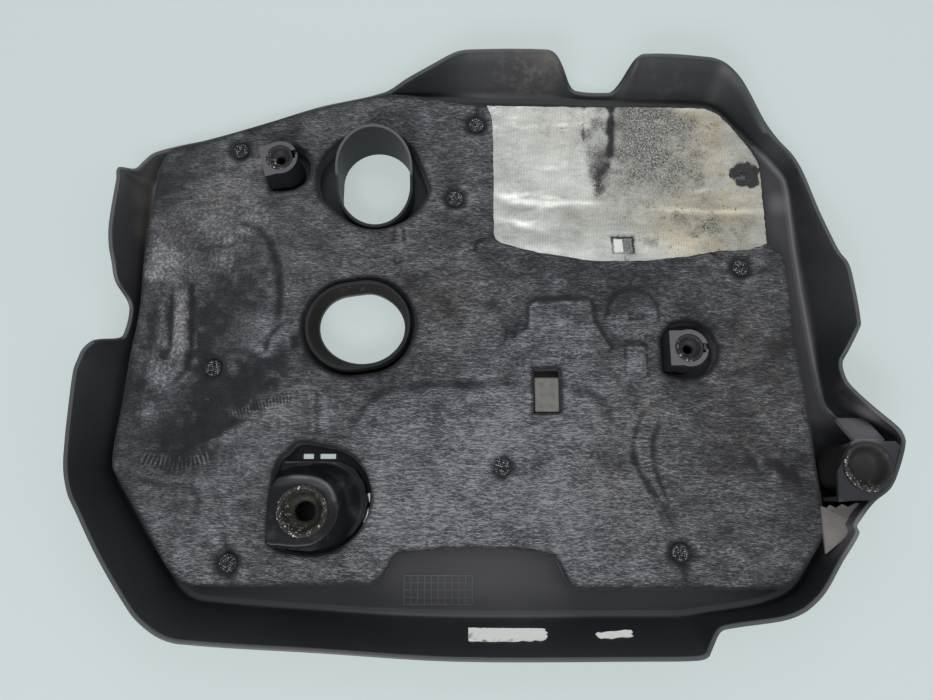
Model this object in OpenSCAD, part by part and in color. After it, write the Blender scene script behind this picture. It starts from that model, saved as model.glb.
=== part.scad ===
// Engine cover seen from its underside, lying on its show face.
// Millimetres, Z up. The rim is at the top, the flat show face is on Z = 0.
// X runs to the right and Y away from the viewer, as in the photograph.

/* [Cover] */
// Overall width across the rim
cover_width = 582; // [560:1:610]
// Overall depth across the rim
cover_depth = 457; // [440:1:480]
// Height of the tall parts of the skirt
skirt_height = 42; // [40:0.5:46]
// Thickness of the moulded panel
wall = 3; // [2.5:0.1:3.4]
// Width of the flat edge on top of the skirt
rim_edge = 3.2; // [2.6:0.1:3.6]

/* [Acoustic pad] */
// Height of the pad's flat face above the table
pad_top = 15; // [14:0.1:16]
// Rounding of the pad's edge
pad_round = 2.4; // [1.5:0.1:3]
// Radius of the pressed weld heads
weld_radius = 6; // [5:0.1:6.6]

/* [Heat shield] */
// Thickness of the foil patch
foil_thickness = 0.6; // [0.4:0.05:0.9]

/* [Small mounts] */
// Height of the two small towers
small_tower_height = 34; // [32:0.5:37]
// Radius of the two small towers
small_tower_radius = 13.8; // [13.4:0.1:14.4]
// Outer radius of the small grommets
small_grommet_radius = 10.2; // [9.6:0.1:10.8]
// Radius of the small grommets' bore
small_bore_radius = 7; // [6.4:0.1:7.4]

/* [Large mounts] */
// Height of the large tower
large_tower_height = 36; // [34:0.5:39]
// Radius of the large tower
large_tower_radius = 22.5; // [21.5:0.1:23.5]
// Outer radius of the large grommets
large_grommet_radius = 16.4; // [15.8:0.1:17]
// Radius of the large grommets' bore
large_bore_radius = 12.4; // [11.6:0.1:13]

/* [Openings] */
// Half height of the oval filler opening
filler_radius = 31.5; // [30:0.1:33]
// Height of the collar around the filler opening
filler_height = 20; // [18:0.5:23]
// Half width of the oblique duct
duct_radius = 28; // [27:0.1:29]
// Height of the duct's tall side
duct_height = 43; // [41:0.5:45]

/* [Hidden] */
$fn = 72;

bore_gap = 0.1;
cut_height = 40;
panel_edge = 4.5;

// Positions are written for a cover of 582 x 457 x 42 and follow its width, depth and height.
across = cover_width / 582;
along = cover_depth / 457;
tallness = skirt_height / 42;
function at(p) = [p[0] * across, p[1] * along];
function lift(z) = z * tallness;

small_left = at([-157, 134]);
small_right = at([150, -18]);
large_left = at([-124.5, -133.5]);
large_right = at([263, -104]);
filler = at([-93.9, 3.5]);
duct = at([-84, 120.7]);
window = at([48, -46]);
bracket_top = lift(44);

duct_spread = 6.3;
small_grommet_height = 13;
large_grommet_height = 20;

// Skirt stations, clockwise from the left: rim x, rim y, rim z, bend x, bend y.
skirt_rows = [
  [-289, -105, 42, -273.5, -101], [-290.5, -86, 42, -273, -83], [-291, -68, 42, -272, -66],
  [-291, -37, 42, -271, -37], [-289, -28, 42, -270, -28], [-286, -20, 42, -269.5, -22],
  [-281, -13, 38, -269, -17], [-274, -6, 17, -267.5, -8], [-272, -1, 14, -267, -2],
  [-270, 15, 14, -265.5, 14], [-271, 23, 17, -266, 24], [-275, 34, 30, -266.5, 34],
  [-275.5, 47, 38, -267, 46], [-278, 59, 40, -267.5, 58], [-281, 77, 38, -267.5, 76],
  [-284, 118, 30, -268, 116], [-284.5, 129, 28, -268.5, 124], [-275, 131, 22, -265.5, 129],
  [-272, 140, 16, -264, 137], [-266, 150, 12, -259.5, 145.5], [-249, 157, 10, -247, 152],
  [-224, 163, 10, -222.5, 158], [-177, 178, 10, -175.5, 173], [-134, 193, 10, -132.5, 188],
  [-80, 205.5, 12, -79, 200.5], [-60, 211.5, 23, -60, 204.5], [-39, 219, 31, -42, 207],
  [-21, 226.5, 35.4, -20, 207.5], [-9, 228.5, 36, -8, 207], [52, 228.5, 36, 52, 205.3],
  [60, 226, 34, 60, 205], [66.5, 219.5, 27, 67, 204.7], [74, 211.5, 13, 74, 204.4],
  [80, 208.6, 9, 80, 204], [106, 207.8, 8, 105, 203], [110.5, 209, 10, 111, 202.8],
  [115.5, 213, 17, 117, 202.5], [123, 221, 32, 124, 202.2], [131, 224.5, 36, 131.5, 201.8],
  [183, 221.5, 36, 182, 199.3], [196, 218, 34, 192, 197], [207, 209, 31, 199.5, 192],
  [215.5, 198, 27, 206.5, 184.5], [229, 175, 20, 218, 171], [240.5, 160, 16, 229, 157],
  [251, 146, 16, 241, 142], [256.5, 130, 18, 249, 128], [261, 94, 26, 250.5, 94],
  [265, 65, 34, 251, 68], [266.5, 54, 38, 251.5, 57], [270, 46, 40, 252, 48],
  [271.5, 35, 41, 252.5, 36], [272.5, -1, 42, 255, 0], [270.5, -7, 41, 255.4, -7],
  [265.5, -20, 34, 256, -17], [263.5, -27, 28, 256.6, -26], [263.5, -35, 28, 257.5, -35],
  [265, -44, 31, 258.5, -44], [273, -60, 40, 262, -58], [286, -75, 44, 279, -72],
  [290, -80.5, 44, 285.5, -79.5], [291, -88, 44, 287, -88.2], [283, -108, 44, 281.5, -107.5],
  [276, -119, 44, 274.5, -118], [265.5, -128, 41, 262.5, -127], [256, -143, 34, 248.8, -141],
  [256.5, -149, 34, 248, -150], [245.5, -167, 30, 238.5, -165], [231, -187.5, 30, 225, -184],
  [219, -198, 30, 213.5, -192.5], [209, -203, 30, 204, -196], [197, -206, 30, 192, -199.5],
  [164, -210, 32, 163, -203.8], [156, -212.5, 34, 153, -205], [148, -222, 40, 145, -206.2],
  [144.5, -226, 42, 138.5, -206.8], [137.5, -228, 42, 131.5, -207], [104, -228.5, 42, 104, -207],
  [-20, -228.5, 42, -20, -207], [-107, -223.5, 42, -107, -203.5], [-199, -218, 42, -198, -197],
  [-213, -214, 42, -208.5, -193.5], [-226, -205.5, 42, -217, -187], [-234.5, -197, 42, -223, -179.5],
  [-258, -165, 42, -243, -152.5], [-277, -134, 42, -262.5, -123.5], [-284, -122, 42, -269.5, -113]
];

// Pad stations, clockwise from the left: edge x, edge y, overhang above the low rim.
pad_rows = [
  [-269.5, -102, 0], [-270, -83, 0], [-267.5, -55, 0], [-265.5, -16, 0], [-263.5, 2, 0],
  [-262.5, 23, 0], [-263.5, 59, 0], [-263, 87, 0], [-260.5, 120, 0], [-258.5, 136, 3],
  [-254.5, 147, 5.5], [-248, 153.5, 6], [-222, 160, 6], [-148, 185, 6], [-79, 202, 6],
  [-50, 200.5, 3], [-20, 196, 0], [6.5, 192, 0], [130.5, 192, 0], [184, 191, 0], [195.5, 185.5, 0],
  [205.5, 173, 0], [221, 150.5, 0], [225.5, 138, 0], [225.5, 98, 0], [226.5, 70, 0],
  [235, 62, 0], [237.5, 41, 0], [237.5, -1, 0], [241.5, -62, 0], [242.5, -102, 0],
  [244, -141, 0], [241.5, -151, 0], [234, -163, 0], [220.5, -179, 0], [214, -184.5, 0],
  [205.5, -187, 0], [108.5, -187, 0], [67.5, -187, 0], [60, -183.5, 0], [46.5, -163, 0],
  [-58.5, -163, 0], [-69.5, -177, 0], [-76, -182.5, 0], [-84, -184, 0], [-203.5, -185, 0],
  [-212.5, -182, 0], [-221.5, -174, 0], [-231.5, -160, 0], [-241.5, -144, 0], [-264, -111, 0]
];

// Foil outline, clockwise from the upper left.
foil_rows = [
  [9.5, 189], [130, 189], [183, 188], [193, 183], [203, 171], [218, 149], [222.5, 137],
  [222.5, 98], [222.5, 70], [206, 64.5], [185, 64.5], [161, 59.5], [126, 56], [91, 55.5],
  [84, 56], [43, 63], [15, 70.5], [9.5, 78]
];

weld_rows = [
  [-194.5, 150.5], [-4, 174], [-21, 108.5], [-202, -29], [-180, -169], [14, -102],
  [139, -162], [200.5, 50.5]
];

// Unit vector pointing into the outline at station i, taken across its neighbours.
function away(a, b) = let (d = b - a) [d[1], -d[0]] / norm(d);
function inward(line, i) = away(line[(i + len(line) - 1) % len(line)], line[(i + 1) % len(line)]);
function inset(line, by) = [for (i = [0 : len(line) - 1]) line[i] + inward(line, i) * by];

rim_line = [for (r = skirt_rows) at([r[0], r[1]])];
rim_level = [for (r = skirt_rows) lift(r[2])];
bend_line = [for (r = skirt_rows) at([r[3], r[4]])];
pad_line = [for (r = pad_rows) at([r[0], r[1]])];
pad_foot = [for (i = [0 : len(pad_rows) - 1]) pad_line[i] + inward(pad_line, i) * pad_rows[i][2]];
foil_line = [for (r = foil_rows) at([r[0], r[1]])];

// A closed band through matching rings of points, every face a triangle.
module band(rings) {
  count = len(rings[0]);
  turns = len(rings);
  polyhedron(
    points = [for (ring = rings) for (p = ring) p],
    faces = [for (r = [0 : turns - 1]) for (i = [0 : count - 1])
      let (a = r * count + i, b = r * count + (i + 1) % count,
           c = ((r + 1) % turns) * count + (i + 1) % count, d = ((r + 1) % turns) * count + i)
        each [[a, b, c], [a, c, d]]]
  );
}
function level(line, z) = [for (p = line) [p[0], p[1], z]];

// The skirt: outside face, flat rim, inside face and the rounded foot that meets the panel.
module skirt() {
  band([
    level(inset(bend_line, 2), 0),
    level(inset(bend_line, -2.2), 2.2),
    [for (i = [0 : len(rim_line) - 1]) [rim_line[i][0], rim_line[i][1], rim_level[i]]],
    [for (i = [0 : len(rim_line) - 1])
      let (q = rim_line[i] + inward(rim_line, i) * rim_edge) [q[0], q[1], rim_level[i]]],
    level(inset(bend_line, 0.4), wall + 1.2),
    level(inset(bend_line, 1.8), wall),
    level(inset(bend_line, panel_edge), wall),
    level(inset(bend_line, panel_edge), 0)
  ]);
}

// Two round ends joined by straight sides, long along Y.
module oval(r, spread, h) {
  for (s = [-1, 1]) translate([0, s * spread, 0]) cylinder(r = r, h = h);
  translate([-r, -spread, 0]) cube([2 * r, 2 * spread, h]);
}

module stake_at(p) {
  translate([p[0], p[1], 1]) cylinder(r = 3, h = pad_top - 3.5);
  translate([p[0], p[1], pad_top - 3]) cylinder(r = weld_radius, h = 1.6);
}

// A small tower has a square back, a round front and a slot in its front.
module small_tower_body(p, turn) {
  translate([p[0], p[1], 1]) rotate(turn) {
    cylinder(r = small_tower_radius, h = small_tower_height - 1);
    translate([-small_tower_radius - 0.3, -small_tower_radius + 0.8, 0])
      cube([small_tower_radius, 2 * small_tower_radius - 1.6, small_tower_height - 1]);
  }
}
module small_tower_bore(p, turn) {
  seat = small_tower_height - small_grommet_height;
  translate([p[0], p[1], seat]) cylinder(r = small_grommet_radius + bore_gap, h = cut_height);
  translate([p[0], p[1], wall + 4]) cylinder(r = 5.5, h = cut_height);
  translate([p[0], p[1], seat]) rotate(turn) translate([6, -3.4, 0])
    cube([small_tower_radius - 8, 6.8, cut_height]);
  translate([p[0], p[1], small_tower_height - 4]) rotate(turn) translate([6, -1, 0])
    cube([20, 4.4, cut_height]);
}

// The large tower stands in a wider apron, and both are set in one opening of the pad.
apron_rows = [
  [-21.5, 35.2], [20.5, 35.2], [31.5, 29.5], [38.5, 19], [41, 6.5], [38.5, -5.5], [31.5, -15.5],
  [20.5, -23.5], [4.5, -26.5], [-11.5, -25], [-21.5, -19.5]
];
pad_opening_rows = [
  [-27, -20.5], [-21.5, -25.5], [-12, -28.5], [2.5, -29.8], [18.5, -27], [30.5, -19.5], [38.5, -9.5],
  [43.5, 3.5], [44, 13.5], [39.5, 27], [31, 37], [20.5, 43], [4, 47], [-11, 48.2], [-17, 42],
  [-23, 37], [-27, 24]
];
module large_tower_body() {
  translate([large_left[0], large_left[1], 1]) {
    cylinder(r = large_tower_radius, h = large_tower_height - 2.6);
    cylinder(r = large_tower_radius - 2, h = large_tower_height - 1);
    translate([-large_tower_radius - 1.8, -large_tower_radius + 1, 0])
      cube([large_tower_radius, large_tower_radius + 8, large_tower_height - 2.6]);
  }
  translate([large_left[0], large_left[1], 1]) {
    linear_extrude(pad_top - 3) polygon(apron_rows);
    translate([8.5, 5.5, pad_top - 4.5]) cylinder(r1 = 28.5, r2 = 20, h = 13);
  }
}
module large_tower_bore() {
  seat = large_tower_height - large_grommet_height;
  translate([large_left[0], large_left[1], seat])
    cylinder(r = large_grommet_radius + bore_gap, h = cut_height);
  translate([large_left[0], large_left[1], wall + 4]) cylinder(r = 9, h = cut_height);
}

// The bracket on the right is a hollow box open to the left with a tower under its roof.
bracket_rows = [[-9, 17.5], [21, 17.5], [24.5, 14], [17, -4], [9, -15.5], [2, -21.5], [-23, -23.5], [-21.5, -3]];
module bracket() {
  difference() {
    intersection() {
      bracket_walls();
      linear_extrude(2 * skirt_height) polygon(inset(bend_line, -1));
    }
    skirt();
  }
}
module bracket_walls() {
  translate([large_right[0], large_right[1], bracket_top - 3.4]) linear_extrude(3) polygon(bracket_rows);
  translate([large_right[0], large_right[1], wall - 0.5])
    cylinder(r = large_grommet_radius + 1.6, h = bracket_top - wall + 0.1);
  translate([large_right[0] - 18.4, large_right[1] - 22.6, wall - 0.5]) cube([17.8, 3, bracket_top - wall - 0.5]);
  translate([large_right[0] - 8, large_right[1] + 18.5, bracket_top - 3.6]) rotate([-50, 0, 0])
    translate([0, -3, 0]) cube([21, 27, 3]);
}
module bracket_bore() {
  seat = bracket_top - large_grommet_height;
  translate([large_right[0], large_right[1], seat])
    cylinder(r = large_grommet_radius + bore_gap, h = cut_height);
  translate([large_right[0], large_right[1], wall + 4]) cylinder(r = 9, h = cut_height);
}

module filler_solid(extra, h) {
  translate([filler[0], filler[1], 0]) rotate(98) oval(filler_radius + extra, 5.6, h);
}
duct_opening_rows = [
  [-47, 8], [-43, -11], [-35.5, -19], [-17, -33.4], [0, -37.5], [17, -33.5], [30, -25], [40, -11], [41.5, -4],
  [37, 11], [31, 25], [26.5, 33], [16, 41.5], [0, 45], [-16, 42.5], [-29, 38], [-42, 24]
];
module duct_solid(extra, h) {
  translate([duct[0], duct[1], 0]) oval(duct_radius + extra, duct_spread, h);
}
duct_slope = atan((duct_height - pad_top) / (2 * duct_radius + 2 * duct_spread));
module duct_wall() {
  difference() {
    translate([0, 0, 1]) duct_solid(2, 60);
    translate([duct[0], duct[1] - duct_radius - duct_spread, pad_top]) rotate([duct_slope, 0, 0])
      translate([-60, -60, 0]) cube([120, 200, 80]);
  }
}

// Narrow gaps through the panel along the apron's edge.
module slits() {
  translate([large_left[0], large_left[1], -1]) {
    translate([-9, 38, 0]) cube([8, 3.8, 30]);
    translate([3.5, 38, 0]) cube([12, 3.8, 30]);
    translate([38.6, 6.5, 0]) cube([3.2, 6.5, 30]);
    translate([37.2, -8, 0]) cube([3.6, 10.5, 30]);
  }
}

// The skirt and the rest of the moulding meet at the panel's edge.
module cover_skirt() {
  color("#26272a") difference() {
    skirt();
    bracket_bore();
  }
}

module cover_shell() {
  color("#222326") difference() {
    union() {
      linear_extrude(wall) polygon(inset(bend_line, panel_edge));
      small_tower_body(small_left, 15);
      small_tower_body(small_right, 0);
      large_tower_body();
      bracket();
      translate([0, 0, 1]) filler_solid(2.5, filler_height - 1);
      duct_wall();
      for (w = weld_rows) stake_at(at(w));
    }
    translate([0, 0, -1]) filler_solid(0, 60);
    translate([0, 0, -1]) duct_solid(0, 80);
    small_tower_bore(small_left, 15);
    small_tower_bore(small_right, 0);
    large_tower_bore();
    bracket_bore();
    slits();
  }
}

// Room left in the pad for everything that rises from the panel.
module pad_cuts() {
  translate([0, 0, -1]) {
    translate([small_left[0] + 1.5, small_left[1] + 1, 0]) cylinder(r = small_tower_radius + 5.4, h = cut_height);
    translate([small_left[0], small_left[1], 0]) rotate(15)
      translate([-small_tower_radius - 0.8, -small_tower_radius - 1, 0])
        cube([small_tower_radius, 2 * small_tower_radius + 1, cut_height]);
    translate([small_right[0] + 6.1, small_right[1] + 3, 0]) oval(small_tower_radius + 6.8, 1.5, cut_height);
    translate([small_right[0] - small_tower_radius - 0.7, small_right[1] - small_tower_radius + 0.4, 0])
      cube([small_tower_radius, 2 * small_tower_radius - 0.8, cut_height]);
    translate([large_left[0], large_left[1], 0]) linear_extrude(cut_height) polygon(pad_opening_rows);
    filler_solid(5.6, 60);
    translate([filler[0] + 31, filler[1] + 1, 0]) rotate(45) cube([17.5, 17.5, 80], center = true);
    translate([duct[0], duct[1], 0]) linear_extrude(60) polygon(duct_opening_rows);
    translate([window[0] - 9.6, window[1] - 16.4, 0]) cube([19.2, 32.8, cut_height]);
  }
  for (w = weld_rows) {
    p = at(w);
    translate([p[0], p[1], 0]) cylinder(r = 3.3, h = cut_height);
    translate([p[0], p[1], pad_top - 3]) cylinder(r = weld_radius + 1.2, h = cut_height);
  }
}

module acoustic_pad() {
  low = lift(12) + 0.4;
  color("#3b3b3d") difference() {
    union() {
      band([
        level(pad_foot, wall),
        level(pad_foot, low - 0.2),
        level(pad_line, low),
        level(pad_line, pad_top - pad_round),
        level(inset(pad_line, pad_round * 0.35), pad_top - pad_round * 0.3),
        level(inset(pad_line, pad_round), pad_top),
        level(inset(pad_line, 9.5), pad_top),
        level(inset(pad_line, 9.5), wall)
      ]);
      translate([0, 0, wall]) linear_extrude(pad_top - wall) polygon(inset(pad_line, 7));
    }
    pad_cuts();
  }
}

module heat_shield_foil() {
  hole = at([207, 127]);
  color("#b9bbb8") translate([0, 0, pad_top]) difference() {
    linear_extrude(foil_thickness) polygon(foil_line);
    translate([hole[0], hole[1], -1]) cylinder(r = 5, h = 4);
  }
}

module window_block() {
  color("#8f8a84") translate([window[0] - 9, window[1] - 15.8, wall]) cube([18, 26, pad_top - wall - 1.5]);
}

module grommet(radius, bore, height, hole, deep) {
  difference() {
    union() {
      cylinder(r = radius, h = height - 1.2);
      cylinder(r = radius - 1.2, h = height + 0.6);
    }
    translate([0, 0, height - deep]) cylinder(r = bore, h = deep + 2);
    translate([0, 0, height - deep]) sphere(r = bore - 0.5);
    translate([0, 0, -1]) cylinder(r = hole, h = height + 2);
  }
}
module small_grommet_at(p) {
  translate([p[0], p[1], small_tower_height - small_grommet_height])
    grommet(small_grommet_radius, small_bore_radius, small_grommet_height, 3.3, 4);
}
module large_grommet_at(p, top) {
  translate([p[0], p[1], top - large_grommet_height])
    grommet(large_grommet_radius, large_bore_radius, large_grommet_height, 6.8, 6);
}
module grommet_small_left() {
  color("#2b2b2d") small_grommet_at(small_left);
}
module grommet_small_right() {
  color("#2b2b2d") small_grommet_at(small_right);
}
module grommet_large_left() {
  color("#2b2b2d") large_grommet_at(large_left, large_tower_height);
}
module grommet_large_right() {
  color("#2b2b2d") large_grommet_at(large_right, bracket_top);
}

// The labels lie flat on the straight inside face of the skirt at the front.
front_rim = at([0, -228.5])[1] + rim_edge;
front_bend = at([0, -207])[1] + 0.4;
front_slope = atan((skirt_height - wall - 1.2) / (front_bend - front_rim));
label_thickness = 0.3;
label_1 = [52, 18];
label_2 = [26, 12];
module on_front(x, up, size) {
  translate([x, front_bend, wall + 1.2]) rotate([180 - front_slope, 0, 0])
    translate([0, up, -label_thickness - 0.02]) cube([size[0], size[1], label_thickness]);
}
module label_remnant_1() {
  color("#d8d6cf") on_front(-11 * across, 10, label_1);
}
module label_remnant_2() {
  color("#d8d6cf") on_front(75.5 * across, 12, label_2);
}

cover_shell();
cover_skirt();
acoustic_pad();
heat_shield_foil();
window_block();
grommet_small_left();
grommet_small_right();
grommet_large_left();
grommet_large_right();
label_remnant_1();
label_remnant_2();
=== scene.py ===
import bpy
import math
import numpy as np
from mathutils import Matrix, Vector
from mathutils.geometry import delaunay_2d_cdt


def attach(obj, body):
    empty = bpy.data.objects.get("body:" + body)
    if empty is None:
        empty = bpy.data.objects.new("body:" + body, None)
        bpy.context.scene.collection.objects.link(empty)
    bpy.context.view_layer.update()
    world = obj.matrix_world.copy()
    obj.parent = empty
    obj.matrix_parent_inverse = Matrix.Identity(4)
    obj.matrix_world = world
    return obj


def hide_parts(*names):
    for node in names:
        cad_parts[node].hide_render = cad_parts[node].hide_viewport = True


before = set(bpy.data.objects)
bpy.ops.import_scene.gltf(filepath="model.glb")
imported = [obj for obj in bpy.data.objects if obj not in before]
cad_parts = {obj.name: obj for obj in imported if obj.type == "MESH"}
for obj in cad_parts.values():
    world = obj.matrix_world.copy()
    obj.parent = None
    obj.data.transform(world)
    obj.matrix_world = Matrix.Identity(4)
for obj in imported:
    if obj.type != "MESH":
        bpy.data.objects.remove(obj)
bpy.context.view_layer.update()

# The bench and the studio
# The cover lies on a pale bench. It is seen from above by a camera that leans back a little,
# under soft lamps that come mostly from the near left.
scene = bpy.context.scene
scene.view_settings.view_transform = "Standard"
CAMERA_PLACE = (-0.01193, -0.13646, 0.528)
CAMERA_TILT = math.radians(13.3)
FRAME_SIZE = (933, 700)
FOCAL_PIXELS = 700

lens = bpy.data.cameras.new("view")
lens.sensor_width = 36
lens.lens = lens.sensor_width * FOCAL_PIXELS / FRAME_SIZE[0]
lens.clip_start = 0.01
camera = bpy.data.objects.new("view", lens)
camera.location = CAMERA_PLACE
camera.rotation_euler = (CAMERA_TILT, 0, 0)
scene.collection.objects.link(camera)
scene.camera = camera

world = bpy.data.worlds.new("studio")
world.use_nodes = True
sky = world.node_tree.nodes["Background"]
sky.inputs["Color"].default_value = (0.93, 0.97, 1.0, 1)
sky.inputs["Strength"].default_value = 0.62
scene.world = world

# name, place and size in metres, power in watts
LAMPS = [("key", (-0.45, -1.35, 1.15), (1.0, 0.5), 20.0), ("fill", (1.3, -0.5, 1.1), (0.7, 0.7), 4.0),
         ("strip", (0.25, 0.75, 1.5), (1.7, 0.05), 1.8), ("rear", (-0.1, 1.6, 1.0), (1.2, 0.5), 7.0)]
for lamp_name, place, size, power in LAMPS:
    lamp = bpy.data.lights.new(lamp_name, "AREA")
    lamp.shape = "RECTANGLE"
    lamp.size, lamp.size_y = size
    lamp.energy = power
    holder = bpy.data.objects.new(lamp_name, lamp)
    holder.location = place
    holder.rotation_euler = (-Vector(place)).to_track_quat("-Z", "Y").to_euler()
    scene.collection.objects.link(holder)


class Wire:
    """A socket in a material's node tree. Arithmetic on it adds Math nodes."""

    def __init__(self, tree, socket=None):
        self.tree, self.socket = tree, socket

    def node(self, kind, settings=None, inputs=None, out=0):
        """Adds a node with its settings and inputs, and gives back one of its outputs."""
        made = self.tree.nodes.new(kind if "Node" in kind else "ShaderNode" + kind)
        for key, value in (settings or {}).items():
            setattr(made, key, value)
        for key, value in (inputs or {}).items():
            if isinstance(value, Wire):
                self.tree.links.new(value.socket, made.inputs[key])
            else:
                made.inputs[key].default_value = value
        return Wire(self.tree, made.outputs[out])

    def maths(self, operation, a, b=0.0, clamp=False):
        return self.node("Math", {"operation": operation, "use_clamp": clamp}, {0: a, 1: b})

    def __add__(self, other): return self.maths("ADD", self, other)
    __radd__ = __add__
    def __sub__(self, other): return self.maths("SUBTRACT", self, other)
    def __rsub__(self, other): return self.maths("SUBTRACT", other, self)
    def __mul__(self, other): return self.maths("MULTIPLY", self, other)
    __rmul__ = __mul__
    def __truediv__(self, other): return self.maths("DIVIDE", self, other)
    def __rtruediv__(self, other): return self.maths("DIVIDE", other, self)
    def clamped(self): return self.maths("ADD", self, 0.0, True)

    def between(self, low, high):
        """0 below low, 1 above high, smooth between them."""
        return self.node("MapRange", {"interpolation_type": "SMOOTHSTEP"}, {0: self, 1: low, 2: high})

    def mix(self, a, b):
        """Colour a where this is 0 and b where it is 1."""
        a = a if isinstance(a, Wire) else (*a, 1)
        b = b if isinstance(b, Wire) else (*b, 1)
        return self.node("Mix", {"data_type": "RGBA"}, {0: self, 6: a, 7: b}, 2)

    def grain(self, scale, detail=2.0, roughness=0.5, stretch=(1, 1, 1), turn=0.0, shift=(0, 0, 0)):
        """Noise over the object, in cycles a metre, stretched and turned about Z."""
        spot = self.node("TexCoord", out=3)
        if stretch != (1, 1, 1) or turn or shift != (0, 0, 0):
            spot = self.node("Mapping", {"vector_type": "TEXTURE"},
                             {0: spot, "Location": shift, "Rotation": (0, 0, turn), "Scale": stretch})
        return self.node("TexNoise", None,
                         {"Vector": spot, "Scale": scale, "Detail": detail, "Roughness": roughness})

    def away_from(self, place):
        """Distance in metres from a place given in millimetres."""
        spot, place = self.node("TexCoord", out=3), [c / 1000 for c in place]
        return self.node("VectorMath", {"operation": "DISTANCE"}, {0: spot, 1: place}, 1)

    def near(self, place, radius):
        """1 at a place, in millimetres, fading to 0 at a radius."""
        return 1 - self.away_from(place).between(0.0, radius / 1000)

    def within(self, place, radius, soft):
        """1 inside a radius round a place, in millimetres, and 0 outside it."""
        return 1 - self.away_from(place).between((radius - soft) / 1000, radius / 1000)

    def coordinate(self, axis):
        """The object's own X, Y or Z, in metres."""
        return self.node("SeparateXYZ", None, {0: self.node("TexCoord", out=3)}, axis)

    def bump(self, strength, deep, height):
        """A normal bent by a height."""
        return self.node("Bump", None, {"Strength": strength, "Distance": deep, "Height": height})

    def attribute(self, name):
        return self.node("Attribute", {"attribute_name": name}, out=2)


def finish_of(name):
    """A new material with its own shader, and a Wire to build on."""
    material = bpy.data.materials.new(name)
    material.use_nodes = True
    shader = material.node_tree.nodes["Principled BSDF"]
    return material, shader, Wire(material.node_tree)


def feed(material, shader, **sockets):
    """Sets or links the shader's sockets, with _ for a space in their names."""
    for key, value in sockets.items():
        socket = shader.inputs[key.replace("_", " ")]
        if isinstance(value, Wire):
            material.node_tree.links.new(value.socket, socket)
        else:
            socket.default_value = value


def mesh_piece(name, points, faces, material, smooth=True):
    """A mesh piece from points in millimetres."""
    mesh = bpy.data.meshes.new(name)
    faces = [tuple(int(i) for i in face) for face in faces]
    mesh.from_pydata((np.asarray(points, float) / 1000).tolist(), [], faces)
    mesh.polygons.foreach_set("use_smooth", [smooth] * len(mesh.polygons))
    mesh.materials.append(material)
    if smooth:
        mesh.set_sharp_from_angle(angle=math.radians(48))
    mesh.update()
    piece = bpy.data.objects.new(name, mesh)
    scene.collection.objects.link(piece)
    return piece


BENCH_COLOUR = (0.565, 0.635, 0.64)
BENCH_GLOW = 0.70
BENCH_HALF = 3000
bench_finish, bench_shader, wire = finish_of("bench_top")
seen = wire.node("LightPath", out=0)
mirrored = wire.node("LightPath", out=3)
lit = Wire(wire.tree, bench_shader.outputs[0])
glow = wire.node("Emission", None, {"Color": (*BENCH_COLOUR, 1), "Strength": 1.0})
feed(bench_finish, bench_shader, Base_Color=(*BENCH_COLOUR, 1), Roughness=0.5)
blend = wire.node("MixShader", None, {0: (seen + mirrored).clamped() * BENCH_GLOW, 1: lit, 2: glow})
wire.tree.links.new(blend.socket, wire.tree.nodes["Material Output"].inputs[0])
bench_corners = [(BENCH_HALF * x, BENCH_HALF * y, 0) for x, y in ((-1, -1), (1, -1), (1, 1), (-1, 1))]
bench = mesh_piece("bench", bench_corners, [(0, 1, 2, 3)], bench_finish, False)


# The moulded skirt
# One moulding in filled black plastic: a flat panel and a skirt that rises from it to a narrow flat rim.
# The skirt is drawn here as a lofted wall with the moulding's rounded foot and rim.
PANEL = 3.0
RIM_WIDTH = 3.2
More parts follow.
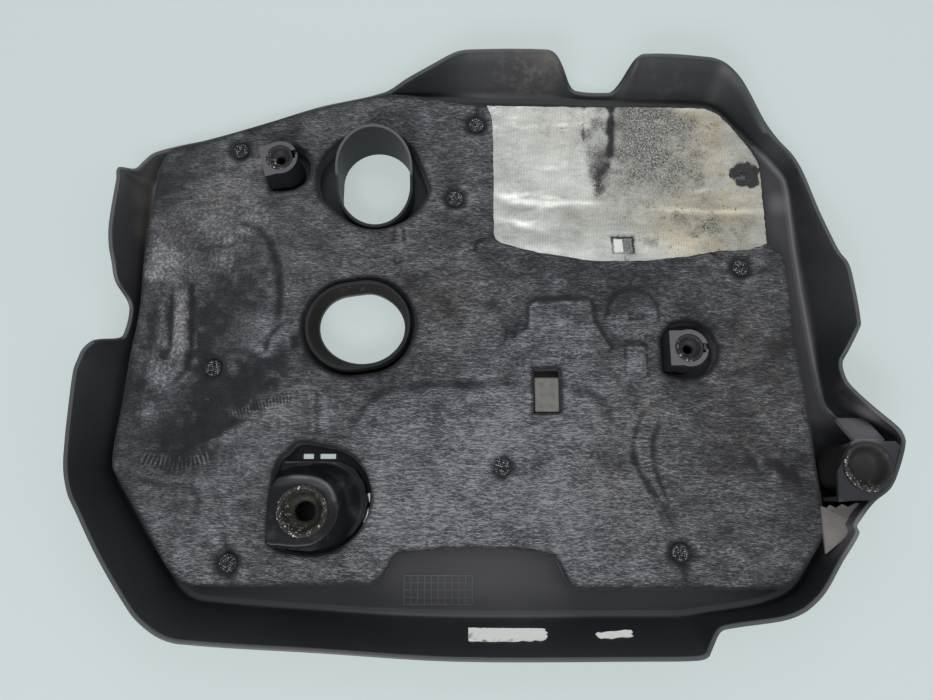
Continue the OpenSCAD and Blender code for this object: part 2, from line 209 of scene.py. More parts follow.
# rim x, rim y, rim height, bend x, bend y, in mm
SKIRT = np.array([
    [-289, -105, 42, -273.5, -101], [-290.5, -86, 42, -273, -83], [-291, -68, 42, -272, -66],
    [-291, -37, 42, -271, -37], [-289, -28, 42, -270, -28], [-286, -20, 42, -269.5, -22],
    [-281, -13, 38, -269, -17], [-274, -6, 17, -267.5, -8], [-272, -1, 14, -267, -2],
    [-270, 15, 14, -265.5, 14], [-271, 23, 17, -266, 24], [-275, 34, 30, -266.5, 34],
    [-275.5, 47, 38, -267, 46], [-278, 59, 40, -267.5, 58], [-281, 77, 38, -267.5, 76],
    [-284, 118, 30, -268, 116], [-284.5, 129, 28, -268.5, 124], [-275, 131, 22, -265.5, 129],
    [-272, 140, 16, -264, 137], [-266, 150, 12, -259.5, 145.5], [-249, 157, 10, -247, 152],
    [-224, 163, 10, -222.5, 158], [-177, 178, 10, -175.5, 173], [-134, 193, 10, -132.5, 188],
    [-80, 205.5, 12, -79, 200.5], [-60, 211.5, 23, -60, 204.5], [-39, 219, 31, -42, 207],
    [-21, 226.5, 35.4, -20, 207.5], [-9, 228.5, 36, -8, 207], [52, 228.5, 36, 52, 205.3],
    [60, 226, 34, 60, 205], [66.5, 219.5, 27, 67, 204.7], [74, 211.5, 13, 74, 204.4],
    [80, 208.6, 9, 80, 204], [106, 207.8, 8, 105, 203], [110.5, 209, 10, 111, 202.8],
    [115.5, 213, 17, 117, 202.5], [123, 221, 32, 124, 202.2], [131, 224.5, 36, 131.5, 201.8],
    [183, 221.5, 36, 182, 199.3], [196, 218, 34, 192, 197], [207, 209, 31, 199.5, 192],
    [215.5, 198, 27, 206.5, 184.5], [229, 175, 20, 218, 171], [240.5, 160, 16, 229, 157],
    [251, 146, 16, 241, 142], [256.5, 130, 18, 249, 128], [261, 94, 26, 250.5, 94],
    [265, 65, 34, 251, 68], [266.5, 54, 38, 251.5, 57], [270, 46, 40, 252, 48],
    [271.5, 35, 41, 252.5, 36], [272.5, -1, 42, 255, 0], [270.5, -7, 41, 255.4, -7],
    [265.5, -20, 34, 256, -17], [263.5, -27, 28, 256.6, -26], [263.5, -35, 28, 257.5, -35],
    [265, -44, 31, 258.5, -44], [273, -60, 40, 262, -58], [286, -75, 44, 279, -72],
    [290, -80.5, 44, 285.5, -79.5], [291, -88, 44, 287, -88.2], [283, -108, 44, 281.5, -107.5],
    [276, -119, 44, 274.5, -118], [265.5, -128, 41, 262.5, -127], [256, -143, 34, 248.8, -141],
    [256.5, -149, 34, 248, -150], [245.5, -167, 30, 238.5, -165], [231, -187.5, 30, 225, -184],
    [219, -198, 30, 213.5, -192.5], [209, -203, 30, 204, -196], [197, -206, 30, 192, -199.5],
    [164, -210, 32, 163, -203.8], [156, -212.5, 34, 153, -205], [148, -222, 40, 145, -206.2],
    [144.5, -226, 42, 138.5, -206.8], [137.5, -228, 42, 131.5, -207], [104, -228.5, 42, 104, -207],
    [-20, -228.5, 42, -20, -207], [-107, -223.5, 42, -107, -203.5], [-199, -218, 42, -198, -197],
    [-213, -214, 42, -208.5, -193.5], [-226, -205.5, 42, -217, -187], [-234.5, -197, 42, -223, -179.5],
    [-258, -165, 42, -243, -152.5], [-277, -134, 42, -262.5, -123.5], [-284, -122, 42, -269.5, -113],
], float)


def sight(u, v):
    """The direction in which the camera sees a point of its picture."""
    x, y = (u - FRAME_SIZE[0] / 2) / FOCAL_PIXELS, (FRAME_SIZE[1] / 2 - v) / FOCAL_PIXELS
    lean, drop = math.sin(CAMERA_TILT), math.cos(CAMERA_TILT)
    return np.array([x, y * drop + lean, y * lean - drop])


def spot(u, v, height=15.0):
    """The place, in millimetres, that a picture point shows at a height above the bench."""
    ray = sight(u, v)
    return (np.array(CAMERA_PLACE) * 1000 + ray * (height - CAMERA_PLACE[2] * 1000) / ray[2])[:2]


def spots(line, height=15.0):
    """The places that a line of picture points shows at a height."""
    return np.array([spot(u, v, height) for u, v in line])


def inset(line, by):
    """A closed line moved inwards, for points that run clockwise."""
    run = np.roll(line, -1, 0) - np.roll(line, 1, 0)
    side = np.stack([run[:, 1], -run[:, 0]], 1) / np.linalg.norm(run, axis=1)[:, None]
    return line + side * np.asarray(by, float).reshape(-1, 1)


def flowing(ring, parameter, steps):
    """A closed curve through the ring's points, with this many steps between two of them."""
    count = len(ring)
    span = np.roll(parameter, -1) - parameter
    span[-1] += parameter[-1] + np.linalg.norm(ring[0, :2] - ring[-1, :2])
    span = np.maximum(span, 1e-6)
    before = np.roll(span, 1)
    slope = (np.roll(ring, -1, 0) - np.roll(ring, 1, 0)) / (span + before)[:, None]
    out = []
    for t in np.arange(steps) / steps:
        a, b, c, d = 2 * t**3 - 3 * t**2 + 1, t**3 - 2 * t**2 + t, 3 * t**2 - 2 * t**3, t**3 - t**2
        out.append(a * ring + b * slope * span[:, None] + c * np.roll(ring, -1, 0)
                   + d * np.roll(slope, -1, 0) * span[:, None])
    return np.stack(out, 1).reshape(count * steps, -1)


def along(line):
    """Distance run along a closed line, from its first point."""
    return np.concatenate([[0], np.cumsum(np.linalg.norm(np.diff(line[:, :2], axis=0), axis=1))])


rim, rim_height, bend = SKIRT[:, :2], SKIRT[:, 2], SKIRT[:, 3:5]
rim_inner = inset(rim, RIM_WIDTH)


def up_wall(foot, foot_height, top, share):
    """A ring part of the way up one face of the skirt."""
    return np.column_stack([foot + (top - foot) * share, foot_height + (rim_height - foot_height) * share])


def level(line, height):
    """A ring at one height, or at a height for each of its points."""
    return np.column_stack([line, np.zeros(len(line)) + height])


def joined(rows, columns, other_way=False):
    """Faces between closed rings of points, and from the last ring back to the first."""
    faces = []
    for row in range(rows):
        here, ahead = row * columns, (row + 1) % rows * columns
        for k in range(columns):
            after = (k + 1) % columns
            faces.append((here + k, ahead + k, ahead + after, here + after))
    return [face[:1] + face[:0:-1] for face in faces] if other_way else faces


# inset from the bend, and height above the panel, of the fold at the skirt's foot
FOLD_SECTION = [(6.6, -0.35), (5.2, 0.03), (3.4, 0.06), (2.0, 0.45), (1.0, 1.1)]
# inset from the rim's outer edge, and drop below its face
RIM_SECTION = [(RIM_WIDTH + 0.1, 0.8), (RIM_WIDTH - 0.15, 0.25), (RIM_WIDTH - 0.6, 0), (0.55, 0),
               (0.12, 0.3), (0, 0.9)]
# inset from the bend, and height above the bench, on the show face's side
UNDER_SECTION = [(-1.6, 1.1), (0.2, 0.25), (2.0, 0.0), (4.4, 0.0)]
inner_foot, outer_foot = inset(bend, 0.4), inset(bend, -2.2)
skirt_rings = [level(inset(bend, by), PANEL + rise) for by, rise in FOLD_SECTION]
skirt_rings += [up_wall(inner_foot, 4.2, rim_inner, share) for share in (0.06, 0.14, 0.4, 0.7, 0.94)]
skirt_rings += [level(inset(rim, by), rim_height - drop) for by, drop in RIM_SECTION]
skirt_rings += [up_wall(outer_foot, 2.2, rim, share) for share in (0.75, 0.4, 0.06)]
skirt_rings += [level(inset(bend, by), height) for by, height in UNDER_SECTION]
STEPS = 5
measure = along(bend)
skirt_rings = [flowing(ring, measure, STEPS) for ring in skirt_rings]
columns, rows = len(skirt_rings[0]), len(skirt_rings)
skirt_points = np.concatenate(skirt_rings)
skirt_faces = joined(rows, columns)
# hollows darkened with painted shade: place, radius and softness in mm
SHADED_HOLLOWS = [((-84, 120.7, 5), 52, 6), ((-93.9, 3.5, 5), 45, 5), ((-124.5, -127, 5), 55, 5),
             ((-157, 134, 5), 28, 4), ((150, -16, 5), 31, 4), ((250, -104, 5), 40, 12)]
# stretches of wall lightened: painted light on the skirt's far and side walls, and a lighter patch on the
# bracket's slope plate: place, radius and softness in mm, strength
LIGHTENED_WALLS = [((262, -76, 36), 20, 8, 0.70), ((-272, 95, 20), 80, 45, 0.16),
                ((275, 70, 22), 100, 60, 0.09), ((40, 215, 20), 150, 70, 0.05)]
# spots lightened: painted sheen on the skirt's lit face below the bracket, and a lighter patch on the bracket's
# slope plate; spots on ledges rubbed grey: place and radius in mm, strength
LIGHTENED_SPOTS = [((*spot(845, 530, 22), 22), 30, 0.6), ((*spot(864, 428, 28), 28), 30, 0.35)]
GREYED_LEDGES = [((*spot(779, 204, 3), 3), 15, 0.5), ((*spot(490, 601, 3), 3), 90, 0.10)]
# dried mud: place and radius in mm, fineness, lower and upper edge of its patches, strength
MUD = [((35, 217, 25), 46, 150, 0.46, 0.64, 1.0), ((*spot(545, 62, 33), 33), 26, 70, 0.35, 0.60, 0.8),
       ((150, 212, 25), 40, 90, 0.50, 0.70, 0.4), ((262, 100, 20), 55, 60, 0.50, 0.70, 0.5),
       ((*spot(853, 392, 34), 34), 22, 90, 0.40, 0.60, 0.8)]
# splashes on the left ledge: place and radius in mm
SPLASHES = [((*spot(147, 175, 5), 5), 20), ((*spot(144, 203, 5), 5), 22), ((*spot(143, 232, 5), 5), 18)]


def plastic(name, ledge, crest, crest_height, gloss, shine):
    """Fine-grained black plastic: dusty on its ledges, grey and worn on its crests above a height, with painted
    shade in hollows and recesses, and painted light on some walls and on the fold of the skirt's foot.
    """
    material, shader, wire = finish_of(name)
    shader.inputs["Specular IOR Level"].default_value = shine
    cloud = wire.grain(9, 4, 0.6)
    speck = wire.grain(420, 3, 0.6)
    fine = wire.grain(2600, 2, 0.6)
    scratch = wire.grain(60, 3, 0.6, (1, 0.06, 1), 0.35)
    high = wire.coordinate(2)
    flat = wire.node("SeparateXYZ", None, {0: wire.node("NewGeometry", out=1)}, 2).between(0.6, 0.97)
    top = high.between(crest_height - 0.0015, crest_height)
    # painted shade on the panel's floor in the hollows round the openings and towers
    hollow_shade = sum(wire.within(*shaded_hollow) for shaded_hollow in SHADED_HOLLOWS).clamped() * (1 - top)
    dust_wear_and_light = flat * (ledge * (1 - top) + crest * top) * (0.7 + 0.6 * cloud) * (1 - hollow_shade * 0.8)
    dust_wear_and_light = dust_wear_and_light * (1 - wire.within((262, -104, 44), 36, 8) * 0.94)
    dust_wear_and_light = dust_wear_and_light + speck.between(0.62, 0.8) * 0.10 + scratch.between(0.66, 0.8) * 0.10
    dust_wear_and_light = (dust_wear_and_light + cloud.between(0.5, 0.75) * 0.06) * (1 - hollow_shade * 0.6)
    # painted light on the skirt's far and side walls, and a lighter patch on the bracket's slope plate
    dust_wear_and_light = dust_wear_and_light + sum(wire.within(*where) * strength for *where, strength in LIGHTENED_WALLS)
    # painted sheen on the lit face below the bracket, and a lighter patch on the slope plate
    dust_wear_and_light = dust_wear_and_light + sum(wire.near(*where) * strength for *where, strength in LIGHTENED_SPOTS)
    dust_wear_and_light = dust_wear_and_light + sum(wire.near(*where) * strength for *where, strength in GREYED_LEDGES) * flat
    # painted highlight along the fold at the skirt's foot
    dust_wear_and_light = dust_wear_and_light + wire.attribute("foot") * (0.25 + cloud * 0.9)
    mud = sum(wire.near(*where) for where in SPLASHES) * 1.3
    for place, radius, fineness, low, high_edge, strength in MUD:
        patches = wire.grain(fineness, 4, 0.7).between(low, high_edge)
        mud = mud + wire.near(place, radius) * patches * strength
    colour = dust_wear_and_light.clamped().mix((0.0105, 0.0112, 0.0138), (0.130, 0.127, 0.138))
    colour = (mud * 0.5).clamped().mix(colour, (0.098, 0.086, 0.074))
    # painted shade deep in the filler opening and under the bracket's roof
    recess_shade = wire.within((-93.9, 3.5, 4), 39, 1.5) * (1 - high.between(0.0185, 0.0195))
    recess_shade = (recess_shade + wire.within((246, -101, 16), 27, 8) * (1 - high.between(0.038, 0.041))).clamped()
    colour = recess_shade.mix(colour, (0.006, 0.0055, 0.005))
    edge = wire.node("Bevel", {"samples": 4}, {"Radius": 0.0007})
    normal = wire.node("Bump", None, {"Strength": 0.25, "Distance": 0.00015,
                                      "Height": fine * 0.7 + speck * 0.6, "Normal": edge})
    rough = gloss + 0.16 * cloud + dust_wear_and_light * 0.2 + recess_shade * 0.35
    feed(material, shader, Base_Color=colour, Roughness=rough, Normal=normal)
    return material


def store(piece, name, values, rest=0.0):
    """Keeps one number a point on a piece, for its material."""
    layer = piece.data.attributes.new(name, "FLOAT", "POINT")
    full = np.full(len(piece.data.vertices), rest, np.float32)
    full[:len(values)] = values
    layer.data.foreach_set("value", full)


moulded_plastic = plastic("moulded_plastic", 0.23, 0.30, 0.009, 0.36, 0.5)
tower_plastic = plastic("tower_plastic", 0.24, 0.64, 0.030, 0.38, 0.24)
skirt = mesh_piece("cover_skirt_wall", skirt_points, skirt_faces, moulded_plastic)
# painted highlight on the fold at the skirt's foot along its right side: ring of the skirt, strength
FOLD_HIGHLIGHT_RINGS = [(2, 0.15), (3, 1.0), (4, 0.6), (5, 0.15)]
foot = np.zeros(len(skirt_points))
for row, strength in FOLD_HIGHLIGHT_RINGS:
    x, y = skirt_rings[row][:, 0], skirt_rings[row][:, 1]
    on_side = (x > 225) * np.clip((y + 50) / 30, 0, 1) * (y < 175)
    foot[row * columns:(row + 1) * columns] = strength * on_side
store(skirt, "foot", foot)
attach(skirt, "root")
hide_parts("cover_skirt")
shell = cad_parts["cover_shell"]
shell.data.materials.clear()
shell.data.materials.append(tower_plastic)

# The felt pad
# A thick pad of pressed felt lies in the tray. Its face took the marks of the pipes, hoses and ribs of the
# engine below it, and it is drawn down around each pressed head that holds it.
PAD_TOP = 15.0
# edge x, edge y, overhang above the low rim, in mm
PAD_EDGE = np.array([
    [-269.5, -102, 0], [-270, -83, 0], [-267.5, -55, 0], [-265.5, -16, 0], [-263.5, 2, 0],
    [-262.5, 23, 0], [-263.5, 59, 0], [-263, 87, 0], [-260.5, 120, 0], [-258.5, 136, 3],
    [-254.5, 147, 5.5], [-248, 153.5, 6], [-222, 160, 6], [-148, 185, 6], [-79, 202, 6],
    [-50, 200.5, 3], [-20, 196, 0], [6.5, 192, 0], [130.5, 192, 0], [184, 191, 0], [195.5, 185.5, 0],
    [205.5, 173, 0], [221, 150.5, 0], [225.5, 138, 0], [225.5, 98, 0], [226.5, 70, 0],
    [235, 62, 0], [237.5, 41, 0], [237.5, -1, 0], [241.5, -62, 0], [242.5, -102, 0],
    [244, -141, 0], [241.5, -151, 0], [234, -163, 0], [220.5, -179, 0], [214, -184.5, 0],
    [205.5, -187, 0], [108.5, -187, 0], [67.5, -187, 0], [60, -183.5, 0], [46.5, -163, 0],
    [-58.5, -163, 0], [-69.5, -177, 0], [-76, -182.5, 0], [-84, -184, 0], [-203.5, -185, 0],
    [-212.5, -182, 0], [-221.5, -174, 0], [-231.5, -160, 0], [-241.5, -144, 0], [-264, -111, 0],
], float)
WELDS = np.array([[-194.5, 150.5], [-4, 174], [-21, 108.5], [-202, -29], [-180, -169], [14, -102],
                  [139, -162], [200.5, 50.5]])
SMALL_LEFT, SMALL_RIGHT = np.array([-157, 134.0]), np.array([150, -18.0])
LARGE_LEFT, LARGE_RIGHT = np.array([-124.5, -133.5]), np.array([263, -104.0])
FILLER, DUCT, WINDOW = np.array([-93.9, 3.5]), np.array([-84, 120.7]), np.array([48, -46.0])


def turned(line, degrees):
    """A line turned about the origin."""
    c, s = math.cos(math.radians(degrees)), math.sin(math.radians(degrees))
    return line @ np.array([[c, s], [-s, c]])


def round_line(centre, radius, spread=0.0, degrees=0.0, count=72):
    """An oval with round ends, long along Y before it is turned."""
    angle = np.arange(count) * 2 * math.pi / count
    line = np.stack([np.cos(angle) * radius, np.sin(angle) * radius + np.sign(np.sin(angle)) * spread], 1)
    return turned(line, degrees) + centre


def even(line, step):
    """A closed line with points at about equal steps."""
    closed = np.vstack([line, line[:1]])
    run = along(closed)
    count = max(8, int(round(run[-1] / step)))
    at = np.arange(count) * run[-1] / count
    return np.stack([np.interp(at, run, closed[:, k]) for k in range(closed.shape[1])], 1)


def curved(rows, step):
    """A closed curve through a few points, with points at about equal steps."""
    ring = np.asarray(rows, float)
    return even(flowing(ring, along(ring), 8), step)


DUCT_GAP = [(-47, 8), (-43, -11), (-35.5, -19), (-17, -33.4), (0, -37.5), (17, -33.5), (30, -25),
            (40, -11), (41.5, -4), (37, 11), (31, 25), (26.5, 33), (16, 41.5), (0, 45), (-16, 42.5),
            (-29, 38), (-42, 24)]
TOWER_GAP = [(-27, -20.5), (-21.5, -25.5), (-12, -28.5), (2.5, -29.8), (18.5, -27), (30.5, -19.5),
             (38.5, -9.5), (43.5, 3.5), (44, 13.5), (39.5, 27), (31, 37), (20.5, 43), (4, 47),
             (-11, 48.2), (-17, 42), (-23, 37), (-27, 24)]
EDGE_STEP = 1.7
pad_rows = curved(PAD_EDGE, EDGE_STEP)
pad_outline, pad_overhang = pad_rows[:, :2], pad_rows[:, 2]
# the filler's gap is an oval with a corner on its right
filler_gap = round_line(FILLER, 37.1, 5.6, 98)
filler_gap = filler_gap[np.abs(filler_gap - (FILLER + (31, 1))).sum(1) >= 12.4]
filler_gap = np.vstack([filler_gap, FILLER + (43.4, 1.0)])
filler_gap = filler_gap[np.argsort(np.arctan2(*(filler_gap - FILLER).T[::-1]))]
SMALL_GAP = [(-14.6, -14.8), (-6, -17.5), (3, -18.2), (12, -15.5), (18.5, -8), (20.8, 1), (18.5, 10),
             (12, 17.2), (3, 19.8), (-6, 18.6), (-13, 14.6), (-14.6, 10)]
RIGHT_GAP = [(-14.5, -13.4), (-10, -16.5), (0, -18.6), (10, -18.2), (20, -13), (26, -3), (26.6, 6),
             (22, 17), (13, 23.4), (4, 24.8), (-6, 22.6), (-12.5, 16.5), (-14.5, 12)]
WINDOW_GAP = [(-9.6, -16.4), (9.6, -16.4), (9.6, 16.4), (-9.6, 16.4)]
pad_holes = [even(turned(np.array(SMALL_GAP), 15) + SMALL_LEFT, EDGE_STEP),
             even(np.array(RIGHT_GAP) + SMALL_RIGHT, EDGE_STEP),
             curved(np.array(TOWER_GAP) + LARGE_LEFT, EDGE_STEP), even(filler_gap, EDGE_STEP),
             curved(np.array(DUCT_GAP) + DUCT, EDGE_STEP), even(np.array(WINDOW_GAP) + WINDOW, EDGE_STEP)]


def inside(points, ring):
    """Which points lie inside a closed line."""
    x, y = points[:, 0], points[:, 1]
    result = np.zeros(len(points), bool)
    for (ax, ay), (bx, by) in zip(ring, np.roll(ring, -1, 0)):
        if ay != by:
            crossing = ((ay > y) != (by > y)) & (x < (bx - ax) * (y - ay) / (by - ay) + ax)
            result ^= crossing
    return result


def distance(points, line, closed=False):
    """Distance from each point to a line, and how far along the line its nearest point is."""
    line = np.asarray(line, float)
    if closed:
        line = np.vstack([line, line[:1]])
    best = np.full(len(points), 1e9)
    place = np.zeros(len(points))
    run = along(line)
    for k in range(len(line) - 1):
        a, step = line[k], line[k + 1] - line[k]
        size = step @ step
        if size == 0:
            continue
        share = np.clip((points - a) @ step / size, 0, 1)
        gap = np.linalg.norm(points - a - share[:, None] * step, axis=1)
        closer = gap < best
        best[closer] = gap[closer]
        place[closer] = run[k] + share[closer] * math.sqrt(size)
    return best, place


def in_sheet(points, outer, holes):
    """Which points lie inside an outline and outside its holes."""
    keep = inside(points, outer)
    for hole in holes:
        keep &= ~inside(points, hole)
    return keep


def to_nearest(points, rings):
    """Distance from each point to the nearest of several closed lines."""
    return np.min([distance(points, ring, True)[0] for ring in rings], axis=0)


def depth_in(points, ring):
    """Distance into a closed line, negative outside it."""
    return distance(points, ring, True)[0] * np.where(inside(points, ring), 1, -1)


def rolling(points, size, seed):
    """Smooth random ground, -1 to 1, with hills about this size apart."""
    rng = np.random.default_rng(seed)
    table = rng.uniform(-1, 1, (96, 96))
    q = points / size + 31.7
    cell = np.floor(q).astype(int)
    f = q - cell
    f = f * f * (3 - 2 * f)
    i, j = cell[:, 0] % 95, cell[:, 1] % 95
    low = table[i, j] * (1 - f[:, 0]) + table[i + 1, j] * f[:, 0]
    high = table[i, j + 1] * (1 - f[:, 0]) + table[i + 1, j + 1] * f[:, 0]
    return low * (1 - f[:, 1]) + high * f[:, 1]


def bell(gap, width):
    """1 on a line, fading smoothly with distance from it."""
    return np.exp(-(gap / width) ** 2)


def bent(line, height=15.0):
    """A line read from the picture, with its corners rounded."""
    line = spots(line, height)
    if len(line) < 3:
        return line
    p = np.vstack([2 * line[0] - line[1], line, 2 * line[-1] - line[-2]])
    t = (np.arange(5) / 5)[:, None]
    parts = [0.5 * (2 * b + (c - a) * t + (2 * a - 5 * b + 4 * c - d) * t**2
                    + (3 * b - a - 3 * c + d) * t**3)
             for a, b, c, d in zip(p, p[1:], p[2:], p[3:])]
    return np.vstack(parts + [line[-1:]])


def traced(points, line, width):
    """How strongly a drawn line marks each point: soft, uneven, and weaker at its ends."""
    line = bent(line)
    low, high = line.min(0) - 3 * width - 1, line.max(0) + 3 * width + 1
    close = np.all((points > low) & (points < high), axis=1)
    mark = np.zeros(len(points))
    if not close.any():
        return mark
    here = points[close]
    gap, place = distance(here, line)
    run = along(line)[-1]
    end = np.clip(np.minimum(place, run - place) / (0.3 * run), 0, 1)
    gap = np.maximum(gap + 0.3 * width * rolling(here, 5, 12), 0)
    mark[close] = bell(gap, width) * (0.4 + 0.6 * end) * (0.85 + 0.35 * rolling(here, 9, 11))
    return mark


# how much stronger than in the tables below the grooves, the ridges and the hoses' ribs are pressed
GROOVE_GAIN, RIDGE_GAIN, HOSE_GAIN = 1.5, 1.3, 0.6
# depth in mm, width in mm, line in the picture
GROOVES = [
    (2.3, 2.2, [(191, 287), (192, 305), (191.5, 340), (189, 360), (183, 373), (176, 380)]),
    (1.9, 1.8, [(172, 296), (171, 320), (169.5, 345), (168, 354)]),
    (1.7, 3.2, [(243, 223), (260, 231), (272, 247), (278.5, 270), (280, 297), (276, 322), (270, 338)]),
    (1.3, 2.6, [(202, 249), (216, 246), (231, 247), (238, 238)]),
    (1.4, 2.2, [(264, 352), (268, 338), (279, 326), (292, 320)]),
    (3.0, 13, [(303, 352), (270, 366), (240, 392), (207, 424), (170, 452)]),
    (2.0, 9, [(205, 292), (207, 330), (204, 372), (214, 405)]),
    (1.3, 3.6, [(351, 424), (362, 411), (380, 393), (404, 387), (450, 384), (500, 383.5),
                (532, 383.5)]),
    (1.6, 3.8, [(562, 384), (578, 388), (592, 394), (604, 404), (612, 418)]),
    (0.9, 6, [(612, 418), (622, 436), (628, 470)]),
    (1.7, 2.3, [(641, 417), (634, 440), (636, 463), (650, 486), (664, 508), (676, 531)]),
    (1.4, 2.2, [(660, 421), (654, 440), (654, 463), (662, 487), (673, 512)]),
    (1.2, 2.0, [(643, 478), (652, 497), (664, 520), (672, 540)]),
    (1.5, 4.5, [(760, 460), (776, 466), (794, 476), (810, 484)]),
    (0.9, 3.2, [(745, 452), (758, 470), (768, 492)]),
    (0.7, 1.5, [(394, 228), (394, 242)]),
    (0.7, 1.5, [(404, 228), (404, 242)]),
    (0.8, 1.6, [(392, 259), (397, 263), (403, 260)]),
    (1.2, 1.8, [(475, 250), (476, 243), (482, 240)]),
    (0.8, 4.0, [(150, 447), (178, 437), (210, 417), (247, 402), (286, 394)]),
    (0.9, 3.0, [(166, 452), (198, 441), (232, 424), (262, 415)]),
    (0.8, 3.0, [(213, 487), (222, 505), (220, 528), (228, 552)]),
    (0.7, 3.5, [(190, 480), (197, 505), (190, 530)]),
    (0.9, 2.4, [(478, 104), (476, 114), (470, 122)]),
    (0.8, 2.2, [(464, 108), (471, 118)]),
    (1.0, 3.0, [(489, 128), (480, 128)]),
    (1.0, 2.6, [(704, 240), (716, 256), (730, 262)]),
    (0.7, 2.6, [(650, 262), (668, 276), (690, 282)]),
    (0.9, 3.0, [(742, 274), (755, 272), (768, 268)]),
    (0.9, 2.6, [(680, 556), (684, 568), (688, 588)]),
    (0.8, 2.4, [(228, 556), (224, 536), (229, 522)]),
    (0.8, 4.0, [(140, 300), (150, 330), (145, 362), (138, 400)]),
    (0.7, 2.6, [(120, 470), (150, 482), (190, 486)]),
]
# height in mm, width in mm, line in the picture
RIDGES = [
    (1.7, 6.0, [(181, 293), (181.5, 325), (180, 352)]),
    (1.5, 3.2, [(163, 300), (162, 322), (160, 340)]),
    (2.4, 22, [(246, 252), (250, 285), (246, 320)]),
    (1.4, 8, [(222, 270), (232, 236), (258, 226)]),
    (1.6, 9, [(281, 343), (310, 356)]),
    (1.0, 7, [(646, 480), (656, 506)]),
    (1.2, 14, [(150, 268), (168, 262), (184, 276)]),
    (0.9, 11, [(168, 398), (182, 384), (196, 372)]),
    (1.1, 10, [(128, 440), (150, 470), (185, 480)]),
    (0.8, 8, [(330, 398), (362, 384)]),
    (0.7, 10, [(440, 396), (520, 394)]),
]
# height in mm, corner softness in mm, outline in the picture
PLATEAUS = [
    (1.5, 1.5, [(528, 307), (531, 301.5), (538, 300), (590, 300), (593, 307), (595, 321), (603, 333),
                (612, 345), (606, 352), (570, 354), (520, 348), (513, 342), (516, 332), (527, 328)]),
    (1.0, 1.2, [(607, 318), (609, 305), (616, 296), (626, 291), (637, 291), (648, 296), (655, 305),
                (657, 318), (652, 332), (642, 340), (624, 341), (612, 332)]),
    (-1.0, 0.7, [(630, 315), (642, 315), (642, 319.5), (630, 319.5)]),
    (1.2, 0.9, [(627, 346), (645, 346), (647, 373), (627, 374)]),
    (-0.5, 1.0, [(304, 391), (317, 391), (318.5, 433), (305, 433)]),
    (-0.6, 2.4, [(398, 274), (416, 277), (413, 288), (401, 285)]),
    (-2.1, 1.6, [(159, 350), (166, 350), (167, 359), (160, 359)]),
    (-2.6, 2.0, [(290, 335), (299, 334), (302, 345), (293, 348)]),
    (-0.6, 2.2, [(434, 295), (444, 291), (456, 306), (448, 315)]),
    (-0.6, 1.6, [(509, 326), (516, 325), (517, 337), (510, 337)]),
    (-0.6, 2.0, [(486, 300), (496, 299), (498, 308), (488, 309)]),
]
# painted shadows (below zero) and painted highlights (above zero) along the sharp edges of the raised and
# sunken shapes: change of lightness and width in mm
EDGE_SHADE_AND_LIGHT = [
    (-0.5, 1.0, [(514, 342), (515, 333), (526, 329), (528, 318), (528, 307), (531, 301.5),
                 (538, 299.5), (564, 299), (590, 299.5)]),
    (-0.55, 1.3, [(592, 301), (595, 321), (603, 334), (612, 347)]),
    (0.25, 0.9, [(520, 338), (531, 332), (532, 306), (560, 303), (588, 303)]),
    (-0.42, 1.0, [(606, 318), (609, 304), (617, 294), (632, 289), (647, 294), (656, 304), (659, 317)]),
    (-0.45, 0.9, [(629, 314), (643, 314), (643.5, 320), (629, 320), (629, 314)]),
    (-0.2, 1.0, [(612, 333), (630, 342), (650, 336)]),
    (-0.4, 0.9, [(626, 345), (646, 345), (648.5, 374)]),
    (-0.25, 0.9, [(625.5, 346), (625.5, 374), (648, 375)]),
    (-0.22, 0.9, [(303, 390), (317, 390), (319, 434)]),
    (0.22, 1.4, [(311, 393), (312, 431)]),
    (0.3, 0.9, [(325, 392), (326, 434)]),
    (-0.30, 0.9, [(394, 229), (394, 241)]),
    (-0.30, 0.9, [(404, 229), (404, 241)]),
    (-0.32, 0.9, [(392, 259), (397, 263), (403, 260)]),
    (-0.35, 1.0, [(475, 250), (476, 243), (482, 240)]),
    (-0.5, 1.1, [(513, 333), (507, 330), (505, 340)]),
]
# depth of the ribs in mm, distance between ribs in mm, half width in mm, line in the picture
HOSES = [
    (1.1, 3.15, 5.2, [(143, 457), (157, 462), (176, 464), (194, 462), (210, 456)]),
    (0.8, 2.5, 4.6, [(228, 415), (250, 408), (272, 402), (292, 399)]),
    (0.9, 3.0, 4.2, [(650, 424), (645, 440), (645, 458), (650, 472)]),
]


def felt_face(points):
    """Height of the pad's face, in mm above its flat level, at points given in mm."""
    face = 0.45 * rolling(points, 38, 3) + 0.26 * rolling(points, 13, 5) + 0.14 * rolling(points, 5.5, 8)
    face += 0.09 * rolling(points * (0.35, 1.0), 2.8, 9)
    for depth, width, line in GROOVES:
        face -= GROOVE_GAIN * depth * traced(points, line, width)
    for height, width, line in RIDGES:
        face += RIDGE_GAIN * height * traced(points, line, width)
    for height, soft, line in PLATEAUS:
        gap = depth_in(points, spots(line))
        face += height / (1 + np.exp(-np.clip(gap / (soft * 0.45), -30, 30)))
    for depth, pitch, half, line in HOSES:
        gap, place = distance(points, spots(line))
        face -= HOSE_GAIN * depth * bell(gap, half) ** 2
    # the felt sinks around each pressed head, with creases that run out from it
    for weld in WELDS:
        gap = np.linalg.norm(points - weld, axis=1)
        face -= 2.7 * bell(np.maximum(gap - 6.2, 0), 4.2)
        creases = np.cos(np.arctan2(*(points - weld).T) * 5 + weld[0])
        face += 0.45 * creases * bell(gap - 13, 5)
    return face


